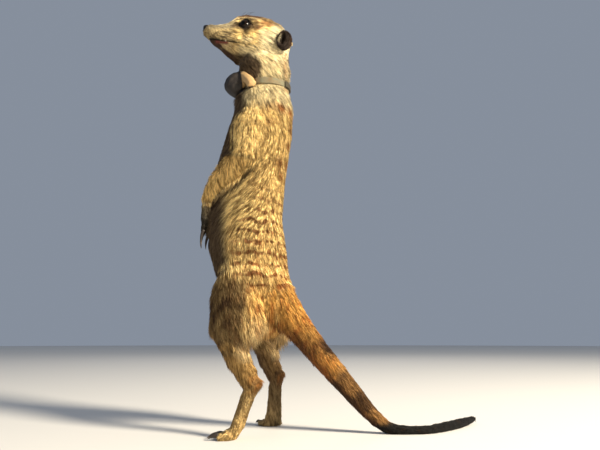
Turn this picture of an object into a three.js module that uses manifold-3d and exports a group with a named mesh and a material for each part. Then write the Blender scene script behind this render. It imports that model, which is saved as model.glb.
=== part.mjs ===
// A life-size model of a meerkat on guard: it stands upright on its hind feet, props itself on its
// tail, lets its hands hang in front of the belly and wears a radio collar.
// Millimetres, +Z up. The animal faces -X, and its left side is towards -Y.
import * as THREE from 'three';
import { mergeVertices } from 'three/addons/utils/BufferGeometryUtils.js';
import Module from 'manifold-3d';

const wasm = await Module();
wasm.setup();
const { Manifold, Mesh: SolidMesh } = wasm;

// ---- driving dimensions ---------------------------------------------------------------------
const GAP = 0.3;              // clear gap between neighbouring parts
const FLOOR = 0;              // level that feet and tail stand on

const HEAD_YAW = 29;          // degrees, head turned towards the animal's left
const HEAD_PITCH = 10;        // degrees, muzzle raised
const HEAD_CENTRE = [11, 0, 274];

const CHEST_BOTTOM = 172;     // level of the cut between chest and abdomen
const ABDOMEN_BOTTOM = 118;   // level of the cut between abdomen and pelvis

const EYE_RADIUS = 4.4;
const EYE_PLACE = [17.2, 11.2, 6.9];
const EAR_PLACE = [-12.7, 18.8, -2.3];
const NOSE_PLACE = [45.7, 0, 4.7];

const COLLAR_LEVEL = 240.4;
const COLLAR_TILT = 4;        // degrees, front lower than back
const COLLAR_HEIGHT = 4.6;
const COLLAR_THICKNESS = 1.7;

const DIGITS = 4;             // fingers on each hand and toes on each foot
const HAND_CLAW = 10;
const FOOT_CLAW = 5;

// Joint centres of the two sides, in the order in which the bones follow each other. The breech
// is how far the middle of the thigh's lower end lies behind the knee, under the long fur there.
const LEGS = {
  left: { hip: [6, -17, 104], knee: [-4, -27, 69], hock: [16, -25, 33.5], ball: [7, -27.5, 5.2],
    breech: 10, toeYaw: 20 },
  right: { hip: [6, 17, 104], knee: [-7, 26.5, 69], hock: [7.5, 25, 36], ball: [4.5, 30, 5.2],
    breech: 7, toeYaw: -42 },
};
const ARMS = {
  left: { shoulder: [8, -18, 212], elbow: [9.5, -27, 183], wrist: [-21.8, -22, 156],
    knuckles: [-25, -20, 142.5], fingerEnds: [-27.2, -18.8, 133.5], palmTurn: 33 },
  right: { shoulder: [7, 18, 213], elbow: [2, 26, 184], wrist: [-34.2, 14, 158],
    knuckles: [-37, 12, 144.5], fingerEnds: [-38.3, 10.8, 135.5], palmTurn: -10 },
};

// ---- materials ------------------------------------------------------------------------------
function finish(color, roughness, metalness = 0) {
  return new THREE.MeshStandardMaterial({ color, roughness, metalness });
}
const sandCoat = finish('#b98f55', 0.9);
const paleCoat = finish('#cbb389', 0.9);
const greyCoat = finish('#8d8068', 0.9);
const tailCoat = finish('#8a5a30', 0.9);
const brushCoat = finish('#1d1613', 0.85);
const earSkin = finish('#211a17', 0.8);
const eyeGloss = finish('#140c08', 0.12);
const noseLeather = finish('#181312', 0.45);
const clawHorn = finish('#2a221d', 0.4);
const bandWeb = finish('#5c6152', 0.75);
const resin = finish('#4a3a2c', 0.6);

// ---- solids ---------------------------------------------------------------------------------
// Turns a closed three.js geometry into a solid that can be joined and cut.
function toSolid(geometry) {
  geometry.deleteAttribute('normal');
  geometry.deleteAttribute('uv');
  const merged = mergeVertices(geometry, 1e-4);
  const corners = merged.index.array;
  const faces = [];
  for (let i = 0; i < corners.length; i += 3) {
    const [a, b, c] = [corners[i], corners[i + 1], corners[i + 2]];
    if (a !== b && b !== c && c !== a) faces.push(a, b, c);
  }
  return new Manifold(new SolidMesh({
    numProp: 3,
    vertProperties: new Float32Array(merged.attributes.position.array),
    triVerts: new Uint32Array(faces),
  }));
}

// Turns a solid back into a named mesh, keeping its largest body if a cut left crumbs.
function toMesh(name, solid, material) {
  const bodies = solid.decompose().sort((a, b) => b.volume() - a.volume());
  const { numProp, vertProperties, triVerts } = bodies[0].getMesh();
  const geometry = new THREE.BufferGeometry();
  const positions = new Float32Array((vertProperties.length / numProp) * 3);
  for (let i = 0; i < positions.length / 3; i += 1) {
    positions.set(vertProperties.subarray(i * numProp, i * numProp + 3), i * 3);
  }
  geometry.setAttribute('position', new THREE.BufferAttribute(positions, 3));
  geometry.setIndex(new THREE.BufferAttribute(new Uint32Array(triVerts), 1));
  geometry.computeVertexNormals();
  const mesh = new THREE.Mesh(geometry, material);
  mesh.name = name;
  return mesh;
}

// One cross-section of a limb: its centre, and its half sizes across and fore-and-aft.
function ring(centre, wide, deep) {
  return { centre: new THREE.Vector3(...centre), wide, deep };
}

// A closed limb with round ends: a capsule bent along its rings and swollen to their sizes.
// "across" is the direction in which the rings are "wide", "around" and "rows" count the facets,
// and "caps" are the lengths of the two ends.
function limb(rings, { across = [0, 1, 0], around = 10, rows = 5, caps = [4, 4], grow = 0, frame } = {}) {
  const spine = new THREE.CatmullRomCurve3(rings.map((r) => r.centre));
  const sizes = new THREE.CatmullRomCurve3(rings.map((r) => new THREE.Vector3(r.wide, r.deep, 0)));
  const geometry = new THREE.CapsuleGeometry(1, 1, Math.round(around / 5), around, rows);
  const places = geometry.attributes.position;
  const wideways = new THREE.Vector3(...across);
  const point = new THREE.Vector3();
  for (let i = 0; i < places.count; i += 1) {
    point.fromBufferAttribute(places, i);
    const t = THREE.MathUtils.clamp(point.y + 0.5, 0, 1);
    const beyond = point.y + 0.5 - t;
    const along = spine.getTangent(t);
    const side = wideways.clone().addScaledVector(along, -wideways.dot(along)).normalize();
    const front = side.clone().cross(along);
    const size = sizes.getPoint(t);
    const capLength = beyond < 0 ? caps[0] : caps[1];
    const place = spine.getPoint(t)
      .addScaledVector(along, beyond * (capLength + grow))
      .addScaledVector(side, point.x * (size.x + grow))
      .addScaledVector(front, point.z * (size.y + grow));
    places.setXYZ(i, place.x, place.y, place.z);
  }
  if (frame) geometry.applyMatrix4(frame);
  return toSolid(geometry);
}

// An egg-shaped solid with the given half sizes, turned by yaw (about Z) and placed.
function egg(halfSizes, place, { yaw = 0, pitch = 0, around = 16, down = 10, frame } = {}) {
  const geometry = new THREE.SphereGeometry(1, around, down);
  geometry.rotateX(Math.PI / 2);
  geometry.scale(...halfSizes);
  geometry.rotateY(THREE.MathUtils.degToRad(pitch));
  geometry.rotateZ(THREE.MathUtils.degToRad(yaw));
  geometry.translate(...place);
  if (frame) geometry.applyMatrix4(frame);
  return toSolid(geometry);
}

function block(size, place, pitch, frame) {
  const geometry = new THREE.BoxGeometry(...size);
  geometry.rotateY(THREE.MathUtils.degToRad(pitch));
  geometry.translate(...place);
  if (frame) geometry.applyMatrix4(frame);
  return toSolid(geometry);
}

function joined(solids) {
  return solids.reduce((sum, solid) => sum.add(solid));
}

function cutBy(solid, ...cutters) {
  return cutters.reduce((rest, cutter) => rest.subtract(cutter), solid);
}

// The slab of a solid between two levels.
function between(solid, low, high) {
  return solid.trimByPlane([0, 0, 1], low).trimByPlane([0, 0, -1], -high);
}

// A point part of the way from one joint centre to another, moved by an offset.
function onBone(from, to, share, offset = [0, 0, 0]) {
  return from.map((value, axis) => value + (to[axis] - value) * share + offset[axis]);
}

// ---- head -----------------------------------------------------------------------------------
// The head has its own frame: x towards the nose, y towards the animal's left, z to the crown.
const headFrame = new THREE.Matrix4()
  .makeTranslation(...HEAD_CENTRE)
  .multiply(new THREE.Matrix4().makeRotationZ(THREE.MathUtils.degToRad(180 + HEAD_YAW)))
  .multiply(new THREE.Matrix4().makeRotationY(THREE.MathUtils.degToRad(-HEAD_PITCH)));
const mirror = (place, side) => [place[0], place[1] * side, place[2]];

// Rings run from the back of the skull to the end of the muzzle: x, centre height, half width, half height.
const SKULL_RINGS = [
  [-13, -4.0, 16.5, 14.2],
  [-5, -1.6, 19.4, 17.7],
  [5, 0.2, 19.8, 19.3],
  [13, 0.8, 17.8, 19.1],
  [20, 1.2, 15.0, 18.5],
  [26, 0.8, 12.4, 15.0],
  [32, 0.9, 9.4, 10.4],
  [39, 1.7, 7.0, 7.2],
  [44.6, 3.0, 5.2, 5.0],
];
const headRings = SKULL_RINGS.map(([x, z, wide, deep]) => ring([x, 0, z], wide, deep));
function headSolid(grow = 0) {
  return limb(headRings, { around: 16, rows: 12, caps: [4.5, 3], grow, frame: headFrame });
}

// The lower jaw is what lies under the mouth line and in front of the mouth's corner.
const MOUTH_CORNER = [17, -8];
const MOUTH_SLOPE = 11;       // degrees, mouth line rising to the nose
const MOUTH_OPENING = 2.5;    // degrees between the lips
function underMouth(slope, gap) {
  const size = [60, 60, 40];
  const turn = THREE.MathUtils.degToRad(slope);
  const x = MOUTH_CORNER[0] - gap + (size[0] / 2) * Math.cos(turn) + (size[2] / 2) * Math.sin(turn);
  const z = MOUTH_CORNER[1] + gap + (size[0] / 2) * Math.sin(turn) - (size[2] / 2) * Math.cos(turn);
  return block(size, [x, 0, z], -slope, headFrame);
}

function earSolid(side) {
  const cup = { yaw: 28 * side, pitch: -8, around: 10, down: 6, frame: headFrame };
  const shell = egg([6.0, 3.0, 7.2], mirror(EAR_PLACE, side), cup);
  const inside = [EAR_PLACE[0] + 2.2, EAR_PLACE[1] + 2.2, EAR_PLACE[2]];
  const hollow = egg([4.6, 2.6, 5.7], mirror(inside, side), { ...cup, around: 8, down: 5 });
  return cutBy(shell, hollow, headSolid(GAP));
}

function eyeSolid(side, grow = 0) {
  const radius = EYE_RADIUS + grow;
  return egg([radius, radius, radius], mirror(EYE_PLACE, side), { around: 9, down: 7, frame: headFrame });
}

function noseSolid(grow = 0) {
  const pad = [3.2 + grow, 3.3 + grow, 2.9 + grow];
  return egg(pad, NOSE_PLACE, { around: 8, down: 6, frame: headFrame });
}

function makeHead() {
  const openMouth = underMouth(MOUTH_SLOPE + MOUTH_OPENING, GAP);
  const whole = cutBy(headSolid(), noseSolid(GAP), eyeSolid(1, GAP), eyeSolid(-1, GAP));
  return [
    toMesh('head', cutBy(whole, underMouth(MOUTH_SLOPE, GAP), openMouth), sandCoat),
    toMesh('lower_jaw', whole.intersect(underMouth(MOUTH_SLOPE, 0)), greyCoat),
    toMesh('nose', noseSolid(), noseLeather),
    toMesh('eye_left', eyeSolid(1), eyeGloss),
    toMesh('eye_right', eyeSolid(-1), eyeGloss),
    toMesh('ear_left', earSolid(1), earSkin),
    toMesh('ear_right', earSolid(-1), earSkin),
  ];
}

// ---- trunk and neck -------------------------------------------------------------------------
// Rings run up the body: x, level, half width, half depth.
const TRUNK_RINGS = [
  [14, 70, 12, 11],
  [15.5, 81, 20, 15],
  [12, 93, 25, 19],
  [3.5, 107, 28, 25],
  [-2, 124, 27, 27.4],
  [-4.4, 143, 26, 27.4],
  [-2.6, 162, 25.5, 27],
  [1.7, 184, 25, 24.7],
  [6.5, 204, 24, 23.5],
  [9.2, 222, 21.5, 21.7],
  [8.2, 235, 17, 20.2],
];
const trunkRings = TRUNK_RINGS.map(([x, z, wide, deep]) => ring([x, 0, z], wide, deep));
function trunkSolid(grow = 0) {
  return limb(trunkRings, { around: 18, rows: 12, caps: [8, 8], grow });
}

const NECK_RINGS = [
  [12, 0.8, 230, 16, 17],
  [11.6, 0.6, 242, 14.0, 14.4],
  [10.2, -0.4, 252, 16.0, 18.9],
  [9.6, -0.6, 263, 17.4, 18.8],
  [11, 0, 273, 15, 15],
];
const neckRings = NECK_RINGS.map(([x, y, z, wide, deep]) => ring([x, y, z], wide, deep));
function neckSolid(grow = 0) {
  return limb(neckRings, { across: [-0.25, 0.97, 0], around: 14, rows: 5, caps: [6, 6], grow });
}

// ---- collar ---------------------------------------------------------------------------------
// The transmitter is a round housing under the throat, placed in the head's frame. A thick sleeve
// on each side of it takes the band in.
const TRANSMITTER_PLACE = [15.2, 0, -34.6];
const SLEEVE_PATH = [[-4.6, 9.6, 250.6], [0.6, 14, 246.4], [6.2, 17, 241.2], [9.6, 18, 236.6]];
const SLEEVE_RADIUS = 3.5;

function sleeveSolid(side, grow) {
  const rings = SLEEVE_PATH.map(([x, y, z]) => ring([x, y * side, z], SLEEVE_RADIUS, SLEEVE_RADIUS));
  return limb(rings, { around: 7, rows: 3, caps: [2, 1.5], grow });
}

function transmitterSolid(grow = 0) {
  const rings = [-5, -1.7, 1.7, 5].map((rise, i) => {
    const swell = i === 0 || i === 3 ? 0.88 : 1;
    const place = [TRANSMITTER_PLACE[0] - rise * 0.5, 0, TRANSMITTER_PLACE[2] + rise];
    return ring(place, 8.5 * swell, 8.6 * swell);
  });
  const housing = limb(rings, { around: 10, rows: 3, caps: [2.8, 2.8], grow, frame: headFrame });
  return joined([housing, sleeveSolid(1, grow), sleeveSolid(-1, grow)]);
}

function bandSolid() {
  const tilt = THREE.MathUtils.degToRad(COLLAR_TILT);
  const up = [-Math.sin(tilt), 0, Math.cos(tilt)];
  const down = up.map((value) => -value);
  const level = COLLAR_LEVEL * Math.cos(tilt) - NECK_RINGS[1][0] * Math.sin(tilt);
  const half = COLLAR_HEIGHT / 2;
  const sleeve = neckSolid(COLLAR_THICKNESS + GAP)
    .trimByPlane(up, level - half)
    .trimByPlane(down, -level - half);
  return cutBy(sleeve, neckSolid(GAP), trunkSolid(GAP), headSolid(GAP), transmitterSolid(GAP));
}

function makeCollar() {
  const body = [neckSolid(GAP), trunkSolid(GAP), headSolid(GAP)];
  return [
    toMesh('collar_band', bandSolid(), bandWeb),
    toMesh('collar_transmitter', cutBy(transmitterSolid(), ...body), resin),
  ];
}

// ---- legs -----------------------------------------------------------------------------------
const sideOf = (name) => (name === 'left' ? -1 : 1);

function thighSolid(leg, grow = 0) {
  return limb([
    ring(leg.hip, 12.5, 19),
    ring(onBone(leg.hip, leg.knee, 0.45, [1, 0, 0]), 12.8, 19),
    ring(onBone(leg.hip, leg.knee, 1, [leg.breech, 0, 0]), 10.2, 13.4 + leg.breech),
  ], { around: 12, caps: [11, 13.5], rows: 4, grow });
}

function shinSolid(leg, grow = 0) {
  return limb([
    ring(onBone(leg.knee, leg.hock, -0.06), 9.4, 12.2),
    ring(onBone(leg.knee, leg.hock, 0.4), 7.8, 10.4),
    ring(onBone(leg.knee, leg.hock, 0.75), 6.0, 7.6),
    ring(leg.hock, 5.4, 6.2),
  ], { caps: [6, 4], grow });
}

// A digit's direction on the floor or in the hand, fanned out from the middle line.
function fanned(index, spread) {
  return (index - (DIGITS - 1) / 2) * spread;
}

function footParts(name, leg) {
  const yaw = THREE.MathUtils.degToRad(180 + leg.toeYaw);
  const ahead = [Math.cos(yaw), Math.sin(yaw), 0];
  const aside = [-Math.sin(yaw), Math.cos(yaw), 0];
  const from = (forward, sideways, level) => [
    leg.ball[0] + ahead[0] * forward + aside[0] * sideways,
    leg.ball[1] + ahead[1] * forward + aside[1] * sideways,
    level,
  ];
  const sole = limb([
    ring(onBone(leg.hock, leg.ball, -0.02, [2, 0, 1]), 5.0, 5.2),
    ring(onBone(leg.hock, leg.ball, 0.3, [0.8, 0, 0]), 4.8, 4.5),
    ring(onBone(leg.hock, leg.ball, 0.68, [0.6, 0, 0]), 5.2, 4.2),
    ring(from(0.5, 0, 4.0), 6.6, 4.6),
    ring(from(4.5, 0, 2.8), 7.0, 3.5),
  ], { across: aside, around: 9, rows: 5, caps: [4, 3] });
  const flare = 1.28;         // how much wider the toes stand at their ends than at their roots
  const toes = [];
  const claws = [];
  for (let i = 0; i < DIGITS; i += 1) {
    const offset = fanned(i, 3.6);
    const reach = 10 - Math.abs(fanned(i, 1)) * 1.3;
    toes.push(limb([
      ring(from(2, offset, 2.6), 2.2, 2.9),
      ring(from(reach * 0.6, offset * 1.14, 2.6), 2.2, 2.9),
      ring(from(reach, offset * flare, 1.9), 2.0, 2.4),
    ], { across: aside, around: 6, rows: 1, caps: [2, 1.8] }));
    claws.push(clawMesh(`claw_foot_${name}_${i + 1}`, [
      from(reach + 2.4, offset * flare, 2.7),
      from(reach + 2.4 + FOOT_CLAW * 0.5, offset * (flare + 0.05), 2.7),
      from(reach + 2.4 + FOOT_CLAW, offset * (flare + 0.1), 1.2),
    ], aside));
  }
  const whole = joined([sole, ...toes]).trimByPlane([0, 0, 1], FLOOR);
  return { whole, claws };
}

// A curved claw, thick at its root and 0.35 mm in radius at its point.
function clawMesh(name, places, across) {
  const radii = [0.95, 0.8, 0.35];
  const rings = places.map((place, i) => ring(place, radii[i] * 0.85, radii[i] * 1.15));
  const claw = limb(rings, { across, around: 5, rows: 2, caps: [0.3, 0.3] });
  return toMesh(name, claw.trimByPlane([0, 0, 1], FLOOR), clawHorn);
}

function makeLeg(name) {
  const leg = LEGS[name];
  const { whole, claws } = footParts(name, leg);
  return [
    toMesh(`thigh_${name}`, cutBy(thighSolid(leg), tailSolid(GAP)), sandCoat),
    toMesh(`shin_${name}`, cutBy(shinSolid(leg), thighSolid(leg, GAP)), sandCoat),
    toMesh(`foot_${name}`, cutBy(whole, shinSolid(leg, GAP), thighSolid(leg, GAP)), paleCoat),
    ...claws,
  ];
}

// ---- arms -----------------------------------------------------------------------------------
function upperArmSolid(arm, grow = 0) {
  return limb([
    ring(arm.shoulder, 8.5, 12.5),
    ring(onBone(arm.shoulder, arm.elbow, 0.5), 8.2, 10.8),
    ring(onBone(arm.shoulder, arm.elbow, 0.92), 7.4, 9.0),
  ], { caps: [9, 5], rows: 4, grow });
}

function forearmSolid(arm, grow = 0) {
  return limb([
    ring(arm.elbow, 7.2, 9.0),
    ring(onBone(arm.elbow, arm.wrist, 0.45, [0, 0, 1.6]), 6.6, 8.3),
    ring(onBone(arm.elbow, arm.wrist, 0.78, [0, 0, 2.4]), 5.2, 6.8),
    ring(arm.wrist, 4.4, 4.6),
  ], { caps: [7, 3.5], grow });
}

function handParts(name, arm) {
  const turn = THREE.MathUtils.degToRad(arm.palmTurn);
  const aside = [-Math.sin(turn), Math.cos(turn), 0];
  const shifted = (place, sideways) => place.map((value, axis) => value + aside[axis] * sideways);
  const palm = limb([
    ring(onBone(arm.wrist, arm.knuckles, 0), 4.2, 3.9),
    ring(onBone(arm.wrist, arm.knuckles, 0.5), 5.0, 3.3),
    ring(arm.knuckles, 5.6, 3.0),
  ], { across: aside, around: 8, rows: 3, caps: [3, 2.5] });
  const fingers = [];
  const claws = [];
  for (let i = 0; i < DIGITS; i += 1) {
    const offset = fanned(i, 2.9);
    const reach = 1 - Math.abs(fanned(i, 1)) * 0.12;
    const end = shifted(onBone(arm.knuckles, arm.fingerEnds, reach), offset * 1.2);
    const tip = (share, curl) => shifted(
      onBone(arm.knuckles, arm.fingerEnds, reach, [curl, 0, -1.6 - HAND_CLAW * share]),
      offset * (1.2 + 0.12 * share),
    );
    fingers.push(limb([
      ring(shifted(arm.knuckles, offset), 1.7, 2.4),
      ring(end, 1.5, 1.9),
    ], { across: aside, around: 5, rows: 1, caps: [1.5, 1.4] }));
    claws.push(clawMesh(`claw_hand_${name}_${i + 1}`, [tip(0.04, 0), tip(0.5, -1.3), tip(1, -1.0)], aside));
  }
  return { whole: joined([palm, ...fingers]), claws };
}

function makeArm(name) {
  const arm = ARMS[name];
  const { whole, claws } = handParts(name, arm);
  return [
    toMesh(`upper_arm_${name}`, upperArmSolid(arm), sandCoat),
    toMesh(`forearm_${name}`, cutBy(forearmSolid(arm), upperArmSolid(arm, GAP)), sandCoat),
    toMesh(`hand_${name}`, cutBy(whole, forearmSolid(arm, GAP), trunkSolid(GAP)), greyCoat),
    ...claws,
  ];
}

// ---- tail -----------------------------------------------------------------------------------
// Rings run from the root to the black tip: x, y, level, half width, half depth.
const TAIL_RINGS = [
  [20, -1, 93, 12.5, 12.5],
  [32, 0, 75, 10.6, 10.2],
  [43, 6.5, 58.5, 9, 8.6],
  [55, 14, 42, 7.6, 7.4],
  [67, 21, 26, 6.5, 6.4],
  [78, 27, 12, 5.2, 5.0],
  [88, 31, 3.9, 4.2, 4.0],
  [100, 35, 2.7, 3.1, 2.9],
  [111, 42, 2.5, 3.0, 2.8],
  [119, 57, 2.8, 3.4, 3.2],
  [126, 78, 3.0, 3.3, 3.2],
  [131, 100, 3.2, 2.0, 2.0],
];
// Where the tail is cut into lengths: the number of the ring, and the names of the lengths.
const TAIL_CUTS = [3, 5, 7];
const TAIL_NAMES = ['tail_base', 'tail_middle', 'tail_low', 'tail_tip'];
const tailRings = TAIL_RINGS.map(([x, y, z, wide, deep]) => ring([x, y, z], wide, deep));

function tailSolid(grow = 0) {
  const options = { across: [0.55, -0.83, 0.1], around: 10, rows: 19, caps: [8, 5], grow };
  return limb(tailRings, options).trimByPlane([0, 0, 1], FLOOR);
}

// Keeps what lies ahead of (sense 1) or behind (sense -1) a ring of the tail.
function trimAtRing(solid, index, sense) {
  const before = tailRings[index - 1].centre;
  const after = tailRings[index + 1].centre;
  const along = after.clone().sub(before).normalize().multiplyScalar(sense);
  return solid.trimByPlane(along.toArray(), along.dot(tailRings[index].centre) + GAP / 2);
}

function makeTail() {
  const materials = [sandCoat, tailCoat, tailCoat, brushCoat];
  return TAIL_NAMES.map((name, i) => {
    let length = tailSolid();
    if (i > 0) length = trimAtRing(length, TAIL_CUTS[i - 1], 1);
    if (i < TAIL_CUTS.length) length = trimAtRing(length, TAIL_CUTS[i], -1);
    return toMesh(name, length, materials[i]);
  });
}

// ---- putting it together --------------------------------------------------------------------
function makeTrunk() {
  const limbs = [tailSolid(GAP)];
  for (const name of ['left', 'right']) {
    limbs.push(thighSolid(LEGS[name], GAP));
    limbs.push(upperArmSolid(ARMS[name], GAP));
    limbs.push(forearmSolid(ARMS[name], GAP));
  }
  const trunk = cutBy(trunkSolid(), ...limbs);
  const half = GAP / 2;
  return [
    toMesh('chest', between(trunk, CHEST_BOTTOM + half, 300), sandCoat),
    toMesh('abdomen', between(trunk, ABDOMEN_BOTTOM + half, CHEST_BOTTOM - half), sandCoat),
    toMesh('pelvis', between(trunk, FLOOR, ABDOMEN_BOTTOM - half), sandCoat),
    toMesh('neck', cutBy(neckSolid(), trunkSolid(GAP), headSolid(GAP)), paleCoat),
  ];
}

const meerkat = new THREE.Group();
meerkat.name = 'meerkat';
meerkat.add(
  ...makeHead(),
  ...makeTrunk(),
  ...makeArm('left'),
  ...makeArm('right'),
  ...makeLeg('left'),
  ...makeLeg('right'),
  ...makeTail(),
  ...makeCollar(),
);

// The origin is on the floor, under the middle of the model's box.
const box = new THREE.Box3().setFromObject(meerkat);
const middle = box.getCenter(new THREE.Vector3());
meerkat.position.set(-middle.x, -middle.y, -box.min.z);

export default meerkat;
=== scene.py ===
# Looks for a life-size meerkat on guard: one skin over the whole body, a coat of solid tufts that
# follows the lie of the hair, eyes, nose, claws, whiskers and the radio collar. Metres, +Z up.
import heapq
import math
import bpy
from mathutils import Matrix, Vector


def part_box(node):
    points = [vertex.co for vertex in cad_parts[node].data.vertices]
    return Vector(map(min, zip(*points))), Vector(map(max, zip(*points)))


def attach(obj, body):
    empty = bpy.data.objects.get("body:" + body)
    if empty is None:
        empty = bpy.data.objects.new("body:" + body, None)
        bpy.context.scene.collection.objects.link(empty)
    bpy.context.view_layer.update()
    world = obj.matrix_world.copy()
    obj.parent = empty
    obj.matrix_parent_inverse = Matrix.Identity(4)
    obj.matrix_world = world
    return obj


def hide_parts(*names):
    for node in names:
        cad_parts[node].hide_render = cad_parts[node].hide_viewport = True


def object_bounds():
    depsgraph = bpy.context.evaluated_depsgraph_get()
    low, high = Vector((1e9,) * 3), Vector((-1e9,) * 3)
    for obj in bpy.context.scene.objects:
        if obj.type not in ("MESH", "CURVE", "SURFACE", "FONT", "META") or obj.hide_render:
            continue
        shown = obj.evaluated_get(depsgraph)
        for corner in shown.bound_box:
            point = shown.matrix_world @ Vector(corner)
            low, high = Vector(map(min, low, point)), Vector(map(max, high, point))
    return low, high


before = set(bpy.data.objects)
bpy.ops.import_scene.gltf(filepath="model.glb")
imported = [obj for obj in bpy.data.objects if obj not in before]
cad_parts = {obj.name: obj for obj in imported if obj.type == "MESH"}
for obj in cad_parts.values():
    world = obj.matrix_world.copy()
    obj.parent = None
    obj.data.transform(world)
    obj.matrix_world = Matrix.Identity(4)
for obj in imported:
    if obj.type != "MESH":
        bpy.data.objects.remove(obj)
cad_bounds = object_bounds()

from types import SimpleNamespace

import bmesh
import bpy
import numpy as np
from mathutils import Vector
from mathutils.bvhtree import BVHTree

MM = 0.001
SIDES = ("left", "right")

# ---- the parts of the body --------------------------------------------------------------------
# For each part of the flesh: tuft length and width in mm, tufts per square mm, how far the tufts
# stand up in degrees, the coat's depth in mm, and how many rounds of smoothing its skin takes.
LENGTH, WIDTH, DENSITY, LIFT, DEPTH, ROUNDS = range(6)       # the columns of COAT
COAT = {
    "head": (4.4, 0.40, 5.0, 12, 0.4, 7),
    "lower_jaw": (2.6, 0.34, 5.0, 12, 0.05, 4),
    "ear": (1.7, 0.30, 4.6, 16, -0.2, 1),
    "neck": (6.5, 0.48, 4.2, 14, 0.5, 24),
    "chest": (7.0, 0.46, 4.6, 11, 1.6, 90),
    "abdomen": (7.0, 0.46, 4.6, 10, 1.6, 90),
    "pelvis": (7.6, 0.48, 3.8, 11, 1.7, 90),
    "upper_arm": (6.2, 0.45, 4.4, 11, 1.5, 80),
    "forearm": (4.4, 0.40, 6.0, 10, 0.7, 8),
    "hand": (2.2, 0.32, 6.5, 10, 0.3, 2),
    "thigh": (7.6, 0.48, 3.8, 11, 1.6, 80),
    "shin": (5.6, 0.46, 5.0, 11, 1.0, 16),
    "foot": (2.7, 0.36, 6.0, 10, 0.35, 2),
    "tail_base": (7.0, 0.50, 3.8, 11, 1.3, 20),
    "tail_middle": (5.6, 0.46, 4.2, 10, 0.9, 14),
    "tail_low": (4.2, 0.42, 4.6, 9, 0.6, 8),
    "tail_tip": (3.8, 0.40, 4.8, 10, 0.5, 6),
}
PAIRED = ("ear", "upper_arm", "forearm", "hand", "thigh", "shin", "foot")
FLESH = [f"{part}_{side}" if part in PAIRED else part
         for part in COAT for side in (SIDES if part in PAIRED else ("",))]

# The pieces that the coat is made in, and the parts of the body that each one covers.
COAT_PIECES = {
    "coat_face": ("lower_jaw",),        # and the front of the head
    "coat_crown": ("head", "ear"),
    "coat_chest": ("chest",),
    "coat_abdomen": ("abdomen",),
    "coat_haunches": ("pelvis", "thigh"),
    "coat_arms": ("upper_arm", "forearm", "hand"),
    "coat_legs": ("shin", "foot"),
    "coat_tail": ("tail_base", "tail_middle", "tail_low", "tail_tip", "neck"),
}
MOST_TUFTS = 30500          # in one coat piece, each tuft having six triangles
VOXEL = 0.9 * MM            # the step in which the skin is made
SWELL = 0.35 * MM           # each part of the flesh swells by this much, to close the gaps between them
SKIN_SINK = 0.3 * MM        # how much deeper than the coat the skin lies, which takes the swelling back
JOIN_ROUNDS = 140           # of smoothing at the knees and the nape
SHOULDER_ROUNDS = 60
SKIN_SHARE = 0.72           # of the remeshed skin's triangles, kept where it bends most
FLOOR_GAP = 0.1 * MM        # between the skin and the floor, and inside the box of the whole body
SMOOTHING = 0.6             # how far a vertex moves towards its neighbours in one round


def kind_of(node):
    """The row of COAT that a node takes its coat from."""
    return node.rsplit("_", 1)[0] if node.endswith(SIDES) else node


def kinds_of(parts):
    """The row of COAT that each vertex takes its coat from."""
    return np.array([kind_of(node) for node in FLESH])[parts]


def unit(vectors):
    """Vectors of length 1 in the same directions."""
    return vectors / np.maximum(np.linalg.norm(vectors, axis=-1, keepdims=True), 1e-12)


def middle(node):
    """The middle of a node's box, in metres."""
    low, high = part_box(node)
    return (np.array(low) + np.array(high)) / 2


def ramp(low, high, values):
    """0 below low, 1 above high and smooth between; it falls instead where low is above high."""
    t = np.clip((values - low) / (high - low), 0.0, 1.0)
    return t * t * (3.0 - 2.0 * t)


def hump(centre, reach, values):
    """1 at the centre, falling smoothly to 0 at reach on either side."""
    return 1.0 - ramp(0.0, reach, np.abs(values - centre))


def mottle(points, size, seed):
    """A smooth random field between 0 and 1 with patches of the given size in metres."""
    count = 32
    lattice = np.random.RandomState(seed).rand(count, count, count)
    cells = points / size + 100.0
    low = np.floor(cells).astype(int)
    t = cells - low
    t = t * t * (3.0 - 2.0 * t)
    total = np.zeros(len(points))
    for corner in range(8):
        step = np.array([corner >> 2 & 1, corner >> 1 & 1, corner & 1])
        weight = np.prod(np.where(step == 1, t, 1.0 - t), axis=1)
        index = (low + step) % count
        total += weight * lattice[index[:, 0], index[:, 1], index[:, 2]]
    return total


# The face has its own frame in mm: its origin is midway between the eyes, x runs to the nose,
# y to the animal's left and z to the brow.
FACE_MIDDLE = (middle("eye_left") + middle("eye_right")) / 2
FACE_LEFT = unit(middle("eye_left") - middle("eye_right"))
TO_NOSE = middle("nose") - FACE_MIDDLE
FACE_AHEAD = unit(TO_NOSE - FACE_LEFT * (TO_NOSE @ FACE_LEFT))
FACE_AXES = np.array([FACE_AHEAD, FACE_LEFT, np.cross(FACE_AHEAD, FACE_LEFT)])


def to_face(points):
    """Places in metres turned into the face's own frame in mm."""
    return (points - FACE_MIDDLE) @ FACE_AXES.T / MM


def from_face(places):
    """Places in the face's own frame turned into metres."""
    return FACE_MIDDLE + np.asarray(places) * MM @ FACE_AXES


def nape_of(face):
    """The hollow behind the skull, over the top of the neck."""
    x, y, z = face[:, 0], np.abs(face[:, 1]), face[:, 2]
    return ramp(-25, -30, x) * ramp(14, 8, y) * ramp(-27, -18, z) * ramp(4, -3, z)


def trunk_angle(places):
    """Degrees round the trunk from the middle of the back: 90 at the flanks, 180 at the belly."""
    chest, abdomen, pelvis = middle("chest"), middle("abdomen"), middle("pelvis")
    levels = [pelvis[2], abdomen[2], chest[2]]
    x = np.interp(places[:, 2], levels, [pelvis[0], abdomen[0], chest[0]])
    return np.degrees(np.arctan2(places[:, 1] - chest[1], places[:, 0] - x))


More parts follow.
